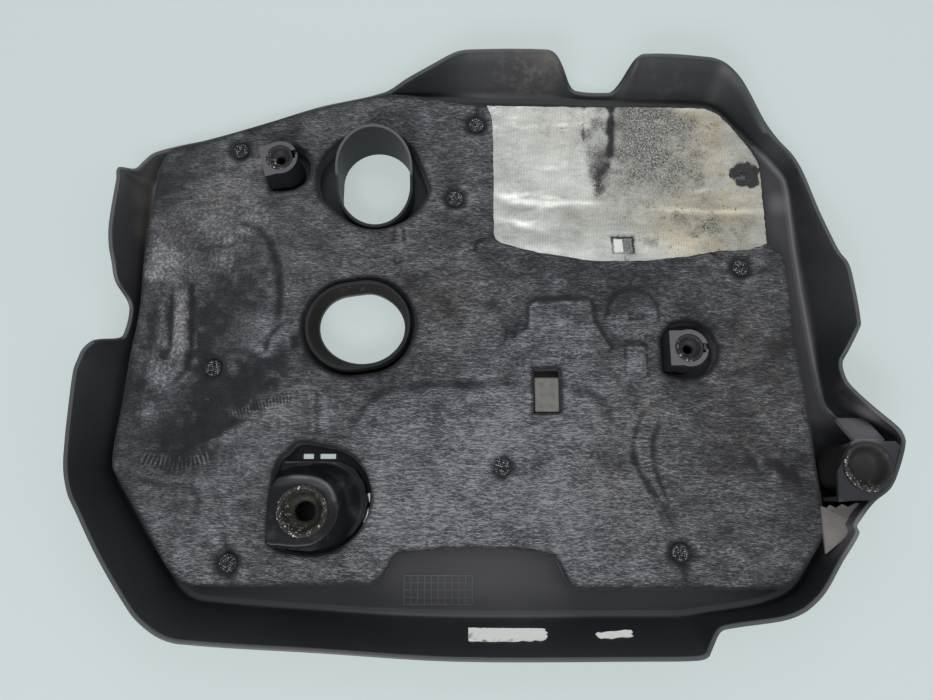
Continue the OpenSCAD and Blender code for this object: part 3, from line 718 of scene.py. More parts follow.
def filled(outer, holes, spacing, rings):
    """Points and triangles that fill an outline with holes. The edge points come first, ring by ring."""
    loops = [outer] + holes
    edges, points = [], []
    for line in loops:
        start = len(points)
        points.extend(line.tolist())
        edges += [(start + k, start + (k + 1) % len(line)) for k in range(len(line))]
    low, high = outer.min(0), outer.max(0)
    xs = np.arange(low[0], high[0], spacing)
    ys = np.arange(low[1], high[1], spacing * 0.866)
    grid = np.array([(x + (k % 2) * spacing / 2, y) for k, y in enumerate(ys) for x in xs])
    grid = grid[in_sheet(grid, outer, holes)]
    grid = grid[to_nearest(grid, loops) > rings[-1] + spacing * 0.55]
    extra = []
    for by in rings:
        for k, line in enumerate(loops):
            area = np.sum(line[:, 0] * np.roll(line[:, 1], -1) - np.roll(line[:, 0], -1) * line[:, 1])
            extra.append(inset(line, by * (1 if (area < 0) == (k == 0) else -1)))
    extra = np.concatenate(extra)
    want = np.repeat(rings, len(points))
    extra = extra[in_sheet(extra, outer, holes) & (to_nearest(extra, loops) > want * 0.8)]
    everything = np.concatenate([np.array(points), extra, grid])
    found = delaunay_2d_cdt([Vector(p) for p in everything], edges, [], 0, 1e-6)
    at = np.array([tuple(p) for p in found[0]])
    faces = np.array(found[2])
    return at, faces[in_sheet(at[faces].mean(1), outer, holes)], len(points)


pad_at, pad_faces, pad_edge_count = filled(pad_outline, pad_holes, 1.95, [0.7, 1.7, 3.0])
FOIL_EDGE = [(4.8, 190.6), (22, 189.9), (70, 189.2), (130, 189), (183, 188), (193, 183), (203, 171),
             (218, 149), (222.5, 137), (222.5, 98), (222.5, 70), (206, 64.5), (185, 64.5), (161, 59.5),
             (126, 56), (91, 55.5), (84, 56), (43, 63), (15, 70.5), (10.5, 74.5), (9.5, 80), (9.8, 130),
             (9.4, 172), (8.2, 182)]
foil_outline = even(np.array(FOIL_EDGE, float), 1.9)
foil_outline += 0.35 * np.stack([rolling(foil_outline, 3.0, 31), rolling(foil_outline, 3.0, 32)], 1)
under_foil = np.where(inside(pad_at, foil_outline), distance(pad_at, foil_outline, True)[0], 0)
edge_gap = to_nearest(pad_at, [pad_outline] + pad_holes)
ROUND = 2.6
curl = np.clip(1 - edge_gap / ROUND, 0, 1)
pad_height = PAD_TOP + felt_face(pad_at) * (1 - 0.75 * bell(edge_gap, 4))
pad_height -= ROUND * (1 - np.sqrt(1 - curl**2 * 0.999))
pad_height -= 0.5 * bell(edge_gap - 5.5, 2.0) + 1.1 * np.clip(under_foil / 4, 0, 1)

# the felt's height in cells over the whole pad, to find how much lower a point lies than the felt around it,
# for painted shade in its hollows and painted light on its rises
CELL = 1.5
grid_low = pad_outline.min(0) - 12
cells = np.ceil((pad_outline.max(0) + 12 - grid_low) / CELL).astype(int)
cell_x, cell_y = (grid_low[k] + CELL * np.arange(cells[k]) for k in (0, 1))
cell_places = np.stack(np.meshgrid(cell_x, cell_y, indexing="ij"), -1).reshape(-1, 2)
ground = felt_face(cell_places).reshape(cells)


def blurred(table, reach):
    """A table smoothed over this many cells to each side."""
    for axis in (0, 1):
        total = np.zeros_like(table)
        for step in range(-reach, reach + 1):
            total += np.roll(table, step, axis)
        table = total / (2 * reach + 1)
    return table


def looked_up(table, points):
    """A table's values at places in millimetres."""
    q = (points - grid_low) / CELL
    i, j = np.floor(q).astype(int).T
    u, v = (q - np.floor(q)).T
    return ((table[i, j] * (1 - u) + table[i + 1, j] * u) * (1 - v)
            + (table[i, j + 1] * (1 - u) + table[i + 1, j + 1] * u) * v)


shaded_hollow = looked_up(blurred(ground, 2) - ground, pad_at)
shaded_hollow += 0.6 * looked_up(blurred(blurred(ground, 4), 3) - ground, pad_at)


def painted(points, strokes, base):
    """Tone over a surface: a base and soft strokes of (change, width in mm, line in the picture)."""
    tone = np.full(len(points), base, float)
    for change, width, line in strokes:
        slim = width < 7 and change < 0
        tone += change * (0.6 if slim else 1.0) * traced(points, line, width * (1.5 if slim else 1.0))
    return tone


# the felt's own lighter and darker patches, with painted shade along its grooves and the edges of its raised
# shapes, and lighter ridge tops: change of lightness, width in mm, line in the picture
FELT_TONE_AND_SHADE_STROKES = [
    (0.34, 62, [(430, 480), (560, 500), (600, 440)]),
    (0.20, 40, [(400, 430), (600, 400)]),
    (0.17, 38, [(196, 496), (230, 530), (262, 566)]),
    (0.16, 45, [(330, 570), (420, 545)]),
    (0.22, 24, [(215, 170), (240, 200), (200, 195)]),
    (0.55, 9, [(152, 262), (165, 262), (176, 275)]),
    (0.5, 6, [(150, 285), (155, 262)]),
    (0.42, 4.5, [(181, 294), (181, 350)]),
    (0.30, 9, [(156, 372), (176, 380)]),
    (0.35, 5, [(146, 405), (150, 418)]),
    (0.22, 12, [(560, 320), (590, 345)]),
    (0.20, 12, [(632, 310), (640, 330)]),
    (0.25, 9, [(632, 350), (640, 370)]),
    (-0.48, 17, [(300, 352), (262, 372), (225, 402), (185, 438)]),
    (-0.5, 13, [(206, 288), (207, 330), (205, 378), (200, 410)]),
    (-0.3, 14, [(238, 262), (246, 330)]),
    (-0.42, 7, [(293, 340), (300, 346)]),
    (-0.28, 5, [(244, 224), (262, 231), (274, 248), (280, 275), (280, 300), (274, 328)]),
    (-0.3, 3.4, [(202, 249), (232, 247)]),
    (-0.35, 2.6, [(191, 287), (191, 350), (178, 378)]),
    (-0.3, 2.2, [(172, 296), (169, 350)]),
    (-0.4, 4, [(162, 354), (164, 356)]),
    (-0.22, 20, [(700, 470), (790, 470), (800, 560)]),
    (-0.2, 26, [(780, 300), (790, 380)]),
    (-0.15, 26, [(640, 560), (760, 575)]),
    (-0.18, 9, [(612, 440), (620, 520)]),
    (-0.2, 4, [(352, 422), (382, 393), (440, 385), (532, 384)]),
    (-0.3, 5, [(566, 386), (596, 397), (612, 420)]),
    (-0.35, 2.8, [(641, 417), (634, 440), (637, 464), (654, 492), (676, 531)]),
    (-0.3, 2.6, [(660, 421), (654, 440), (655, 464), (664, 490), (674, 512)]),
    (-0.32, 5, [(762, 461), (808, 483)]),
    (-0.35, 5, [(400, 280), (414, 282)]),
    (-0.32, 7, [(436, 296), (450, 310)]),
    (-0.3, 5, [(489, 302), (497, 306)]),
    (-0.35, 4, [(511, 328), (515, 336)]),
    (-0.35, 2.0, [(528, 308), (532, 301), (590, 299.5)]),
    (-0.3, 2.2, [(594, 306), (596, 322), (612, 345)]),
    (-0.25, 2.0, [(608, 312), (615, 296), (632, 290), (650, 296)]),
    (-0.3, 5, [(700, 245), (730, 262), (760, 268)]),
    (-0.22, 9, [(660, 262), (700, 268)]),
    (-0.2, 12, [(140, 440), (190, 452), (215, 440)]),
    (-0.18, 12, [(300, 250), (330, 240)]),
    (-0.22, 10, [(470, 110), (480, 130)]),
    (0.55, 1.8, [(111, 463), (118, 482), (128, 500), (143, 527)]),
    (-0.30, 22, [(200, 168), (170, 175), (165, 205)]),
    (-0.2, 20, [(150, 170), (146, 230)]),
    (-0.18, 14, [(175, 150), (240, 140), (300, 118)]),
    (-0.15, 14, [(118, 430), (112, 465)]),
    (-0.3, 3, [(330, 440), (352, 424)]),
    (-0.30, 22, [(206, 320), (222, 372), (200, 420)]),
    (0.16, 30, [(440, 560), (380, 500), (400, 440)]),
    (-0.10, 34, [(650, 400), (700, 420), (760, 400)]),
    (-0.30, 20, [(240, 384), (200, 418), (150, 440)]),
    (0.30, 8, [(262, 345), (292, 330)]),
    (0.30, 7, [(240, 425), (290, 405)]),
    (-0.30, 9, [(158, 296), (157, 350)]),
    (-0.25, 8, [(144, 286), (139, 350), (126, 440)]),
    (-0.12, 40, [(130, 420), (180, 430), (160, 480)]),
    (-0.18, 30, [(480, 250), (600, 280), (700, 290)]),
    (-0.2, 18, [(340, 380), (440, 372), (520, 366)]),
]
BROWN_STROKES = [
    (0.5, 30, [(480, 290), (440, 300), (420, 330)]),
    (0.5, 8, [(181, 300), (181, 350)]),
    (0.4, 26, [(600, 440), (625, 520)]),
    (0.5, 8, [(646, 395), (650, 415)]),
    (0.35, 30, [(720, 330), (780, 320)]),
    (0.35, 26, [(200, 170), (240, 210)]),
    (0.45, 70, [(740, 330), (770, 520)]),
    (0.4, 12, [(250, 420), (330, 400)]),
    (0.35, 60, [(300, 190), (440, 230)]),
    (0.3, 50, [(250, 560), (380, 570)]),
    (0.35, 40, [(180, 200), (170, 300)]),
]
RUBBED_STROKES = [
    (1.0, 60, [(170, 200), (190, 300), (190, 400)]),
    (0.8, 34, [(150, 240), (150, 400), (130, 470)]),
    (0.6, 40, [(240, 180), (270, 260)]),
    (0.35, 30, [(250, 430), (210, 470)]),
]
tone = painted(pad_at, FELT_TONE_AND_SHADE_STROKES, 0.40)
# painted shade in the dip round each pressed head
for weld in WELDS:
    tone -= 0.35 * bell(np.maximum(np.linalg.norm(pad_at - weld, axis=1) - 6, 0), 5)
# painted shade along the pad's edges and in the felt's hollows, and painted light on its rises
tone -= 0.75 * bell(edge_gap, 2.3) + np.clip(0.24 * shaded_hollow, -0.2, 0.34)
for change, width, line in EDGE_SHADE_AND_LIGHT:
    edge_mark, _ = distance(pad_at, spots(line))
    tone += change * bell(edge_mark + 0.3 * rolling(pad_at, 4, 14), width)
tone += 0.12 * rolling(pad_at, 17, 21) + 0.09 * rolling(pad_at * (0.5, 1), 6, 22)
tone += 0.07 * rolling(pad_at * (0.4, 1), 3.4, 24)
# the hoses' ribs are drawn by the felt's material, as bumps and as bands of painted light and shade: how far
# along them a point lies, and how strong they are
rib_phase, rib_mark = np.zeros(len(pad_at)), np.zeros(len(pad_at))
rib_gap = np.full(len(pad_at), 30.0)
for depth, pitch, half, line in HOSES:
    gap, place = distance(pad_at, spots(line))
    closer = gap < rib_gap
    rib_gap[closer] = gap[closer]
    rib_phase[closer] = place[closer] * 2 * math.pi / pitch
    rib_mark[closer] = depth * bell(gap[closer], half) ** 2
brown = painted(pad_at, BROWN_STROKES, 0.0)
rubbed = np.clip(painted(pad_at, RUBBED_STROKES, 0.0), 0, 1)


def closed_body(at, faces, loops, top, rings):
    """A closed solid: its filled face, its sides down through the rings below, and a flat underside."""
    sizes = [len(line) for line in loops]
    starts = [sum(sizes[:k]) for k in range(len(sizes))]
    count = sum(sizes)
    points = np.concatenate([np.column_stack([at, top])] + rings)
    shape = [tuple(f) for f in faces]
    for k in range(len(rings)):
        upper = 0 if k == 0 else len(at) + (k - 1) * count
        lower = len(at) + k * count
        for start, size in zip(starts, sizes):
            shape += [(upper + start + i, lower + start + i, lower + start + (i + 1) % size,
                       upper + start + (i + 1) % size) for i in range(size)]
    low = rings[-1][:, :2]
    edges = [(start + i, start + (i + 1) % size) for start, size in zip(starts, sizes) for i in range(size)]
    found = delaunay_2d_cdt([Vector(p) for p in low], edges, [], 0, 1e-6)
    cover = np.array(found[2])
    middle = np.array([tuple(p) for p in found[0]])[cover].mean(1)
    low_loops = [low[start:start + size] for start, size in zip(starts, sizes)]
    cover = cover[in_sheet(middle, low_loops[0], low_loops[1:])]
    return points, shape + [tuple(f) for f in cover[:, ::-1] + len(at) + (len(rings) - 1) * count]


pad_edges = pad_at[:pad_edge_count]
pad_low = pad_edges.copy()
pad_low[:len(pad_outline)] = inset(pad_outline, pad_overhang)
overhung = np.zeros(pad_edge_count)
overhung[:len(pad_outline)] = 4.0
pad_rims = [level(pad_edges, 11.9), level(pad_low, 7.5 + overhung), level(pad_low, PANEL + 0.1)]
pad_points, pad_shape = closed_body(pad_at, pad_faces, [pad_outline] + pad_holes, pad_height, pad_rims)

felt, felt_shader, wire = finish_of("pressed_felt")
ribs = wire.maths("SINE", wire.attribute("rib")) * wire.attribute("ribbed")
brown_wire, rubbed_wire = wire.attribute("brown"), wire.attribute("rubbed")
long_streak = wire.grain(1.0, 3, 0.72, (0.0072, 0.00078, 0.01), -0.03)
cross_streak = wire.grain(1.0, 3, 0.72, (0.0046, 0.00068, 0.01), 0.30, (0.3, 0.1, 0))
fine_streak = wire.grain(1.0, 2, 0.7, (0.0042, 0.00050, 0.004), -0.17, (0.7, 0.2, 0))
blotch = wire.grain(42, 4, 0.62)
lint = wire.grain(900, 2, 0.7)
crumb = wire.grain(430, 3, 0.7)
strand = long_streak.between(0.49, 0.64) * 0.40 + cross_streak.between(0.53, 0.66) * 0.46
strand = (strand + fine_streak.between(0.54, 0.66) * 0.78 + 0.02) * (0.32 + blotch)
crumbs = (crumb.between(0.46, 0.66) * 0.56 + lint.between(0.48, 0.72) * 0.32) * (0.26 + blotch * 1.3) + 0.06
strand = strand * (1 - rubbed_wire * 0.75) + crumbs * rubbed_wire * 0.75
# the hoses' ribs add bands of painted light and shade
depth = (wire.attribute("tone") + ribs * 0.30).between(-0.25, 1.0)
fuzz = strand * (0.25 + 1.65 * depth) + depth * 0.12 + (lint - 0.5) * 0.18 + (blotch - 0.5) * 0.16
fuzz = (fuzz * (0.32 + depth)).clamped()
grey_felt = fuzz.mix((0.0105, 0.011, 0.0135), (0.250, 0.256, 0.276))
brown_felt = fuzz.mix((0.019, 0.0165, 0.014), (0.240, 0.214, 0.176))
felt_colour = (brown_wire * (0.35 + blotch * 0.6)).clamped().mix(grey_felt, brown_felt)
hairs = wire.bump(0.6, 0.0005, strand * 0.9 + lint * 0.25 + fine_streak * 0.4 + ribs * 1.2)
feed(felt, felt_shader, Base_Color=felt_colour, Roughness=0.93, Normal=hairs, Sheen_Weight=0.12,
     Sheen_Roughness=0.5)
felt_shader.inputs["Specular IOR Level"].default_value = 0.2

pad = mesh_piece("acoustic_pad_felt", pad_points, pad_shape, felt)
store(pad, "tone", tone, -0.1)
store(pad, "brown", brown)
store(pad, "rubbed", rubbed)
store(pad, "rib", rib_phase)
store(pad, "ribbed", rib_mark)
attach(pad, "root")
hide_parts("acoustic_pad")

# The heat shield
# A sheet of embossed aluminium foil lies on the felt over the hot end of the engine. It is creased and
# rippled, scorched in the middle, and burnt through near its right end.
SHEET = 0.24
BURN = [(4.6, 0.5), (3.2, 3.4), (0.4, 4.4), (-2.2, 3.6), (-4.8, 2.0), (-4.2, -1.4), (-5.0, -3.4),
        (-1.6, -3.2), (1.2, -4.8), (3.0, -2.6)]
burn_edge = even(np.array(BURN) + spot(741, 177), 1.2)
foil_at, foil_faces, _ = filled(foil_outline, [burn_edge], 1.7, [0.8])
FOIL_CREASES = [
    (1.1, 3.2, [(490, 190), (506, 198), (522, 201), (560, 203)]),
    (1.0, 2.6, [(490, 217), (512, 221), (530, 227), (560, 230)]),
    (0.55, 0.9, [(546, 120), (547, 152)]),
    (0.6, 0.9, [(583, 122), (582, 150)]),
    (0.4, 1.2, [(497, 131), (560, 127), (620, 130)]),
    (0.5, 1.4, [(500, 200), (530, 197), (562, 202), (594, 199)]),
    (0.5, 1.6, [(500, 229), (540, 226), (585, 231)]),
    (0.35, 1.5, [(500, 165), (545, 171), (590, 166)]),
    (0.6, 1.6, [(640, 240), (700, 232), (760, 238)]),
    (0.5, 1.8, [(640, 218), (690, 212), (740, 214), (764, 208)]),
    (0.5, 1.4, [(655, 196), (690, 201), (722, 197)]),
    (0.45, 1.2, [(512, 104), (516, 140), (511, 180)]),
    (0.4, 1.4, [(566, 108), (569, 150), (563, 195)]),
    (0.5, 1.2, [(640, 110), (652, 150), (646, 196)]),
    (0.4, 1.3, [(690, 112), (697, 150)]),
]
foil_rise = 0.25 * rolling(foil_at, 24, 41) + 0.22 * rolling(foil_at * (1, 2.2), 11, 42)
foil_rise += 0.10 * rolling(foil_at, 4, 43)
for rise, width, line in FOIL_CREASES:
    foil_rise += rise * traced(foil_at, line, width * 1.6)
pocket_gap = depth_in(foil_at, spots([(612, 237), (633, 236), (634, 253), (613, 254)]))
foil_rise -= 0.7 / (1 + np.exp(-np.clip(pocket_gap / 0.35, -30, 30)))
foil_rise += 0.5 * bell(pocket_gap + 1.4, 0.9)
foil_edge = distance(foil_at, foil_outline, True)[0]
foil_rise += 0.35 * bell(foil_edge, 2.5) * rolling(foil_at, 7, 44)
foil_top = PAD_TOP + looked_up(blurred(ground, 1), foil_at) * 0.9 + 0.45 + np.maximum(foil_rise, -0.8)
foil_points = np.concatenate([level(foil_at, foil_top), level(foil_at, foil_top - SHEET)])
foil_shape = [tuple(f) for f in foil_faces] + [tuple(f) for f in foil_faces[:, ::-1] + len(foil_at)]
start = 0
for line in (foil_outline, burn_edge):
    top_edge = [(start + k, start + (k + 1) % len(line)) for k in range(len(line))]
    foil_shape += [(a, a + len(foil_at), b + len(foil_at), b) for a, b in top_edge]
    start += len(line)
SOOT_STROKES = [
    (0.95, 3.2, [(611, 80), (610, 125), (609, 152), (607, 172)]),
    (0.46, 10.5, [(606, 150), (600, 170), (600, 188), (605, 208)]),
    (0.42, 10, [(616, 96), (620, 120), (612, 150)]),
    (0.42, 6, [(597, 160), (598, 200)]),
    (0.5, 1.5, [(583, 104), (583, 156)]),
    (0.35, 1.5, [(546, 150), (547, 200)]),
    (0.35, 1.5, [(610, 205), (611, 236)]),
    (0.34, 4.5, [(576, 118), (582, 145)]),
    (0.3, 3, [(551, 135), (548, 148), (558, 152)]),
    (0.5, 2.4, [(635, 238), (648, 246)]),
    (0.35, 5, [(495, 104), (560, 106)]),
    (0.45, 2.2, [(560, 108), (640, 106)]),
    (0.3, 8, [(612, 226), (634, 228)]),
    (0.35, 6, [(742, 236), (752, 244)]),
    (0.3, 6, [(694, 240), (712, 238)]),
]
ASH_STROKES = [
    (1.30, 25, [(628, 84), (636, 140), (636, 188)]),
    (0.75, 28, [(664, 100), (684, 150), (668, 205)]),
    (0.6, 12, [(601, 112), (597, 170), (600, 204)]),
    (0.25, 20, [(690, 205), (720, 222)]),
    (0.5, 8, [(690, 220), (745, 236)]),
    (0.4, 12, [(548, 120), (590, 145)]),
    (0.6, 8, [(638, 238), (662, 248)]),
    (0.4, 8, [(676, 226), (700, 232), (730, 230)]),
    (0.4, 6, [(748, 222), (744, 250)]),
    (0.3, 9, [(496, 120), (500, 200)]),
]
STAIN_STROKES = [
    (0.95, 30, [(640, 200), (700, 215), (760, 200)]),
    (0.7, 34, [(690, 130), (730, 160)]),
    (0.75, 18, [(640, 225), (700, 240), (760, 236)]),
    (0.5, 10, [(756, 130), (764, 200)]),
    (0.7, 32, [(650, 110), (690, 130), (680, 180)]),
    (0.4, 10, [(596, 205), (612, 214)]),
    (0.5, 14, [(670, 104), (720, 112)]),
    (0.35, 14, [(560, 215), (600, 225)]),
    (0.3, 26, [(530, 120), (590, 130)]),
]
# painted highlights on the ripples' crests (above zero) and painted shade beside them (below zero): change of
# lightness, width in mm, line in the picture
FOIL_GLINT_AND_SHADE_STROKES = [
    (0.95, 3.0, [(492, 192), (506, 199), (522, 202), (548, 204)]),
    (0.85, 2.2, [(540, 207), (562, 204), (598, 203)]),
    (0.9, 2.4, [(492, 218), (512, 222), (530, 228), (548, 230)]),
    (0.6, 2.2, [(640, 207), (700, 212), (770, 211)]),
    (0.75, 4.0, [(664, 106), (708, 110)]),
    (0.7, 1.8, [(692, 192), (708, 190)]),
    (0.35, 5, [(500, 245), (590, 257)]),
    (-0.35, 4, [(494, 210), (530, 214), (590, 214)]),
    (-0.3, 4, [(494, 236), (540, 240), (590, 238)]),
    (-0.25, 5, [(640, 219), (700, 224), (765, 222)]),
    (0.35, 10, [(620, 246), (700, 246)]),
]
foil_metal, foil_shader, wire = finish_of("scorched_foil")
soot_wire, stain_wire, ash_wire = wire.attribute("soot"), wire.attribute("stain"), wire.attribute("ash")
across = wire.coordinate(0)
ribbing = across.maths("SINE", across * 5030.0) * 0.5 + 0.5
emboss = wire.node("TexVoronoi", {"feature": "F1"},
                   {"Vector": wire.node("TexCoord", out=3), "Scale": 780.0})
spatter = wire.grain(420, 4, 0.75)
salt = wire.grain(640, 3, 0.8)
cloud = wire.grain(24, 4, 0.6)
drift = wire.grain(90, 3, 0.65, (1.0, 0.3, 1.0))
bright = 0.235 + emboss * 0.14 + (cloud - 0.5) * 0.8 + (drift - 0.5) * 0.35
bright = bright + (salt - 0.5) * 0.22 + (ribbing - 0.5) * 0.16
# painted highlights and shade of the ripples, from the shine attribute
bright = (bright + wire.attribute("shine") * (0.55 + ribbing * 0.25)).clamped()
clean_metal = bright.mix((0.255, 0.265, 0.250), (0.97, 0.98, 0.92))
stained_metal = bright.mix((0.22, 0.180, 0.118), (0.94, 0.86, 0.67))
metal = (stain_wire * (0.30 + cloud * 1.1)).clamped().mix(clean_metal, stained_metal)
pepper = wire.grain(1250, 3, 0.8)
ash = (ash_wire * 1.05 - 0.02 + (pepper - 0.5) * 1.5 + (spatter - 0.5) * 0.9).between(0.12, 1.0)
ashen = (pepper * 0.6 + salt * 0.4).between(0.42, 0.64).mix((0.030, 0.030, 0.031), (0.52, 0.51, 0.46))
soot = (soot_wire + (salt - 0.5) * 1.1 + (pepper - 0.5) * 1.1).between(0.34, 0.80)
dots = ((spatter + stain_wire * 0.05).between(0.65, 0.71) + pepper.between(0.70, 0.76)) * 0.75
char = salt.between(0.50, 0.72).mix((0.007, 0.0075, 0.009), (0.045, 0.047, 0.052))
foil_colour = (soot * 0.97 + dots).clamped().mix(ash.mix(metal, ashen), char)
# the pocket: a square recess in a burnt frame, its left half light and its right half dark and speckled
pocket_x, pocket_y = spot(623, 245, 16) / 1000
above = wire.coordinate(1) - pocket_y
beside = across - pocket_x + above * 0.06
frame_gap = wire.maths("MAXIMUM", wire.maths("ABSOLUTE", beside) - 0.0075,
                       wire.maths("ABSOLUTE", above) - 0.0060)
frame_gap = frame_gap + (spatter - 0.5) * 0.004 + (salt - 0.5) * 0.002
jagged = frame_gap.between(-0.0006, 0.0) * (1 - frame_gap.between(0.0006, 0.0022))
jagged = jagged * (0.45 + (above * 90 + beside * 60 + 0.5).clamped())
recess = 1 - frame_gap.between(-0.0008, -0.0004)
right_half = beside.between(-0.0004, 0.0006)
dark_speckled_floor = (salt * 0.6 + pepper * 0.4).between(0.3, 0.7).mix((0.05, 0.05, 0.05), (0.26, 0.26, 0.25))
recessed = right_half.mix((0.72, 0.71, 0.66), dark_speckled_floor)
crinkle = frame_gap.between(-0.0004, 0.0) * (1 - frame_gap.between(0.0004, 0.0050))
crinkle = crinkle * (pepper * 0.5 + salt * 0.5).between(0.47, 0.57)
crinkle = crinkle * (0.2 + (above * 90 + beside * 50 + 0.3).clamped())
foil_colour = crinkle.clamped().mix(foil_colour, (0.05, 0.048, 0.045))
foil_colour = (jagged * 1.1).clamped().mix(recess.mix(foil_colour, recessed), (0.022, 0.022, 0.024))
soot = (soot + jagged * 0.8 + recess * right_half * 0.6).clamped()
dents = wire.bump(0.5, 0.0003,
                  emboss * 0.7 + ribbing * 0.5 + drift * 1.5 + salt * ash * 1.5 + spatter * soot * 3.0)
feed(foil_metal, foil_shader, Base_Color=foil_colour, Metallic=(0.85 - soot * 0.8 - ash * 0.35).clamped(),
     Roughness=0.34 + soot * 0.5 + ash * 0.24 + stain_wire * 0.06, Normal=dents)
foil = mesh_piece("heat_shield_foil_sheet", foil_points, foil_shape, foil_metal)
# the burn mark is a cluster of round scorches: place in the picture, radius in mm
SCORCHES = [(744, 172, 8.8), (736, 173, 6.2), (751, 181, 6.6), (755, 171, 4.4), (743, 180, 6.6)]
crust = np.zeros(len(foil_at))
for u, v, reach in SCORCHES:
    gap = np.linalg.norm(foil_at - spot(u, v), axis=1) + 1.3 * rolling(foil_at, 2.6, 47)
    crust = np.maximum(crust, 2.2 * np.clip(1.25 - gap / reach, 0, 1))
# shine holds the ripples' painted highlights and shade
foil_marks = {"soot": painted(foil_at, SOOT_STROKES, 0.0) + crust,
              "stain": painted(foil_at, STAIN_STROKES, 0.0),
              "ash": painted(foil_at, ASH_STROKES, 0.0), "shine": painted(foil_at, FOIL_GLINT_AND_SHADE_STROKES, 0.0)}
for name, strength in foil_marks.items():
    store(foil, name, np.tile(strength, 2))
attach(foil, "root")
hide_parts("heat_shield_foil")
tab = even(np.array([(-1.6, -1.7), (1.8, -1.4), (1.4, 1.6), (-1.3, 1.5)]) + spot(627, 258), 0.8)
tab_at, tab_faces, tab_count = filled(tab, [], 0.9, [0.4])
tab_top = PAD_TOP + looked_up(ground, tab_at) + 1.9 + 0.3 * rolling(tab_at, 2.5, 46)
tab_rims = [level(tab_at[:tab_count], PAD_TOP + 0.6)]
tab_points, tab_shape = closed_body(tab_at, tab_faces, [tab], tab_top, tab_rims)
foil_tab = mesh_piece("foil_torn_tab", tab_points, tab_shape, foil_metal)
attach(foil_tab, "root")

# The foam block in the window
# A small block of dense grey foam is pushed into the pad's window. Its face has two rows of
# pressed dimples.
FOAM_TOP = 13.5
FOAM_EDGE = [(-8.6, -12.9), (8.6, -12.9), (8.95, -12.4), (8.95, 12.3), (8.5, 12.9), (-8.5, 12.9),
             (-8.95, 12.4), (-8.95, -12.4)]
DIMPLES = [(x, y) for x in (-4.1, 4.1) for y in (-8.2, 0.0, 8.2)]
foam_middle = WINDOW + (0, -2.8)
foam_outline = even(np.array(FOAM_EDGE) + foam_middle, 0.8)
foam_at, foam_faces, foam_count = filled(foam_outline, [], 0.75, [0.35, 0.8])
foam_gap = to_nearest(foam_at, [foam_outline])
dimpled = sum(bell(np.linalg.norm(foam_at - foam_middle - dimple, axis=1), 1.7) for dimple in DIMPLES)
foam_top = FOAM_TOP - 0.9 * bell(foam_gap, 0.6) + 0.12 * rolling(foam_at, 2.2, 51)
foam_rims = [level(foam_at[:foam_count], height) for height in (8.0, PANEL + 0.1)]
foam_points, foam_shape = closed_body(foam_at, foam_faces, [foam_outline], foam_top - 0.8 * dimpled, foam_rims)
foam, foam_shader, wire = finish_of("grey_foam")
pores = wire.grain(900, 3, 0.7)
shade = wire.grain(160, 3, 0.6)
# painted shade in the dimples
foam_colour = (shade * 0.7 + pores * 0.4 - wire.attribute("dimple") * 0.15).clamped()
foam_colour = foam_colour.mix((0.066, 0.064, 0.058), (0.190, 0.183, 0.167))
feed(foam, foam_shader, Base_Color=foam_colour, Roughness=0.9, Normal=wire.bump(0.5, 0.0003, pores))
block = mesh_piece("window_foam_block", foam_points, foam_shape, foam)
store(block, "dimple", dimpled)
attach(block, "root")
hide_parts("window_block")

# The large tower's hood
# The moulding rises around the large tower in one soft hood: a rounded block that carries the
# grommet, and a wide dark apron that falls away from it to the right.
HOOD_EDGE = [(-24.7, -21.8), (-24.8, 10), (-23.4, 20), (-21.9, 35.6), (20.8, 35.6), (32, 29.8), (39, 19.2),
             (41.5, 6.5), (39, -5.8), (32, -16), (20.8, -24), (4.5, -27), (-11.5, -25.5), (-20, -24)]
HOOD_BLOCK = [(-24.6, -21.7), (-24.7, 6), (-23.4, 13), (-18.5, 20), (-11, 23.6), (0, 24.2), (9, 23.4),
              (17.5, 18.8), (23, 11), (25, 2), (23.8, -7), (18.5, -16), (9, -22.6), (-2, -24.4), (-14, -23.6)]
HOOD_BORE = 16.75
BLEND = 2.2
HOOD_ROUND = 1.4
hood_outline = even(np.array(HOOD_EDGE) + LARGE_LEFT, 1.0)
hood_block = curved(np.array(HOOD_BLOCK) + LARGE_LEFT, 1.0)
hood_hole = round_line(LARGE_LEFT, HOOD_BORE)
hood_at, hood_faces, hood_count = filled(hood_outline, [hood_hole], 0.95, [0.5])
into = depth_in(hood_at, hood_block)
reach = np.linalg.norm(hood_at - LARGE_LEFT - (8.5, 5.5), axis=1)
share = np.clip((30.5 - reach) / 11, 0, 1)
apron_top = 13.8 + 10.8 * share * share * (3 - 2 * share)
soft = np.clip(into / 3.6, 0, 1)
rounded = 1.9 * (1 - np.sqrt(np.maximum(1 - (1 - soft) ** 2, 0))) ** 1.2
crest = np.where(into > 0, 36.45 - rounded, 34.55 + into * 2.6)
blended = np.clip(1 - np.abs(crest - apron_top) / (2 * BLEND), 0, 1) ** 2
hood_top = np.maximum(crest, apron_top) + BLEND * 0.25 * blended
hood_gap = to_nearest(hood_at, [hood_outline])
edge_drop = HOOD_ROUND * (1 - np.sqrt(1 - np.clip(1 - hood_gap / HOOD_ROUND, 0, 1) ** 2 * 0.999))
hood_top -= np.where(into < 0.8, edge_drop, 0)
hood_top -= 0.35 * bell(np.linalg.norm(hood_at - LARGE_LEFT, axis=1) - 16.7, 0.5)
hood_edges, hood_shoulder = hood_at[:hood_count], np.minimum(hood_top[:hood_count] - 0.6, 34.6)
hood_rims = [level(hood_edges, height) for height in (hood_shoulder, 12.0, PANEL + 0.05)]
hood_points, hood_shape = closed_body(hood_at, hood_faces, [hood_outline, hood_hole], hood_top, hood_rims)
hood_plastic, hood_shader, wire = finish_of("hood_plastic")
hood_shader.inputs["Specular IOR Level"].default_value = 0.2
